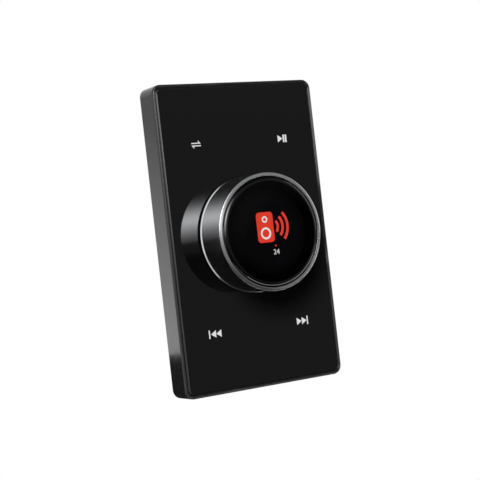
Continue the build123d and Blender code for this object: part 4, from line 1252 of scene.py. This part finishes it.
class AMP_OT_stage(bpy.types.Operator):
    """Set the camera, the pale floor, the lamps and the cards"""

    bl_idname = "amp.stage"
    bl_label = "Studio"

    def execute(self, context):
        scene = context.scene
        stage = scene.amp_stage
        camera = bpy.data.objects.new("camera", bpy.data.cameras.new("camera"))
        camera.data.lens = stage.camera_lens
        camera.data.sensor_width = 36.0
        camera.data.clip_start = 0.01
        camera.matrix_world = (
            Matrix.Translation(stage.camera_place)
            @ Matrix.Rotation(-stage.camera_turn, 4, "Z")
            @ Matrix.Rotation(math.pi / 2 + stage.camera_tilt, 4, "X")
            @ Matrix.Rotation(-stage.camera_roll, 4, "Z")
        )
        scene.collection.objects.link(camera)
        scene.camera = camera
        scene.view_settings.view_transform = "Standard"
        self.set_world(scene, stage)
        self.lay_floor(stage)
        # Turn and tilt in degrees, distance, size, brightness
        soft_lamp("key_lamp", -39.0, 24.0, 0.95, (0.5, 0.42), stage.key_radiance)
        soft_lamp("rear_lamp", 152.0, 38.0, 1.1, (0.5, 0.5), stage.rear_radiance)
        self.hang_cloths(stage)
        return {"FINISHED"}

    def hang_cloths(self, stage):
        """Cloths, dark cards and lit cards for the glass, the ring and the lens to mirror."""
        foot = stage.floor_z + 0.02
        # Painted shadow of the knob: a soft dark patch in the grey cloth, which the glass and the lens
        # mirror below and right of the knob. Middle, inner and outer radius, flattening, darkest share
        knob_shadow_patch = ((0.697, -1.0966, -0.0207), 0.056, 0.085, 0.83, 0.12)
        # The grey cloth carries that painted shadow of the knob.
        grey = glowing("Grey cloth", 0.15, 0.8, stage.drape, 0.3, knob_shadow_patch)
        low_grey = even("Low grey cloth", stage.drape)
        dark = even("Dark cloth", stage.dark)
        left = glowing("Left glow", -0.13, 0.15, stage.glow, 0.75)
        beside = glowing("Side glow", 0.0, 0.13, 1.0, stage.side_radiance)
        # Name, turns in degrees, radius and height of the lower and of the upper edge, light
        walls = (
            ("front_cloth", (-50.0, 62.0), (1.3, -0.32), (1.3, 0.9), grey),
            ("low_cloth", (-18.0, 62.0), (0.25, foot), (0.9, -0.2), low_grey),
            ("low_dark", (-62.0, 31.0), (0.34, -0.275), (0.6, -0.145), dark),
            ("rim_dark", (31.0, 44.0), (0.34, -0.275), (0.5, -0.238), dark),
            ("side_dark", (-62.0, -18.0), (0.8, -0.34), (0.9, -0.2), dark),
            ("top_cloth", (-50.0, 140.0), (0.02, 0.9), (1.3, 0.9), dark),
            ("right_card", (64.0, 140.0), (1.25, -0.2), (1.25, -0.03), low_grey),
            ("left_card", (-170.0, -128.0), (0.95, -0.27), (0.95, -0.118), dark),
            ("corner_card", (145.0, 222.0), (0.6, -0.55), (0.9, -0.2), dark),
            ("left_glow", (-165.0, -133.0), (1.0, -0.15), (1.0, 0.2), left),
            ("side_glow", (-70.0, -50.0), (1.2, 0.0), (1.2, 0.3), beside),
        )
        for name, turns, low, high, light in walls:
            card(name, wall_round(turns, low, high), light)
        card("floor_dark", level_disc(0.3, foot, 48), dark)
        view = towards(-stage.camera_turn, 0.0)
        below = even("Low glow", stage.low_radiance)
        # View, turns and slopes in degrees, distance
        card("low_glow", edge_image(view, (-130.0, -30.0), (57.8, 63.5), 0.5), below)
        card("bead_dark", edge_image(view, (-125.0, -40.0), (18.0, 57.0), 0.45), dark)
        # Turn and tilt in degrees, width and power of the fall-off, brightness
        soft_card("lamp_image", -25.0, 21.0, 0.27, 1.6, stage.mirror_radiance)
        soft_card("rim_image", 4.5, 6.5, 0.125, 2.0, stage.rim_radiance)

    def set_world(self, scene, stage):
        """White to what sees the background, soft grey to what it lights."""
        world = bpy.data.worlds.new("studio")
        world.use_nodes = True
        graph = Graph(world.node_tree)
        background = graph.tree.nodes["Background"].inputs
        share = {"Value": graph.seen_share(), "To Min": stage.ambient, "To Max": 1.0}
        graph.tree.links.new(graph.out("ShaderNodeMapRange", share), background["Strength"])
        background["Color"].default_value = (1.0, 1.0, 1.0, 1.0)
        scene.world = world

    def lay_floor(self, stage):
        """A pale round floor that fades into the white background."""
        radius, fade_start, fade_stop = 1.9, 0.6, 1.6
        made = Finish("Pale floor", Roughness=0.9)
        made.mottle((0.8, 0.8, 0.79), 0.02, 6.0)
        away = made.reach(made.stretched((1.0, 1.0, 0.0)))
        fade = made.span(away, 0.0, 1.0, fade_start, fade_stop)
        share = made.computed("MULTIPLY", fade, made.seen_share())
        white = made.out("ShaderNodeEmission", {"Strength": 1.0})
        made.show(made.out("ShaderNodeMixShader", {0: share, 1: made.shader.outputs[0], 2: white}))
        floor = shown("floor", loose_mesh("floor", level_disc(radius, stage.floor_z, 96)), made.material)


OPERATORS = (
    AMP_OT_ring,
    AMP_OT_lens,
    AMP_OT_rim,
    AMP_OT_signs,
    AMP_OT_picture,
    AMP_OT_screws,
    AMP_OT_marks,
    AMP_OT_finishes,
    AMP_OT_stage,
)


class AMP_PT_sidebar(bpy.types.Panel):
    """Lists the amplifier's pieces and their settings"""

    bl_idname = "AMP_PT_sidebar"
    bl_label = "Amplifier"
    bl_space_type = "VIEW_3D"
    bl_region_type = "UI"
    bl_category = "Amplifier"

    def draw(self, context):
        for operator in OPERATORS:
            self.layout.operator(operator.bl_idname)
        for name, group in SETTINGS.items():
            box = self.layout.box()
            box.label(text=group.__doc__)
            for key in group.__annotations__:
                box.prop(getattr(context.scene, name), key)


CLASSES = (*SETTINGS.values(), *OPERATORS, AMP_PT_sidebar)


def register():
    """Registers the classes and hangs the settings on the scene."""
    for cls in CLASSES:
        bpy.utils.register_class(cls)
    for name, group in SETTINGS.items():
        setattr(bpy.types.Scene, name, PointerProperty(type=group))


def unregister():
    """Takes the settings and the classes away again."""
    for name in SETTINGS:
        delattr(bpy.types.Scene, name)
    for cls in reversed(CLASSES):
        bpy.utils.unregister_class(cls)


def main():
    """Registers the classes and makes every piece in order."""
    register()
    bpy.ops.amp.ring()
    bpy.ops.amp.lens()
    bpy.ops.amp.rim()
    bpy.ops.amp.signs()
    bpy.ops.amp.picture()
    bpy.ops.amp.screws()
    bpy.ops.amp.marks()
    bpy.ops.amp.finishes()
    bpy.ops.amp.stage()


if __name__ == "__main__":
    main()
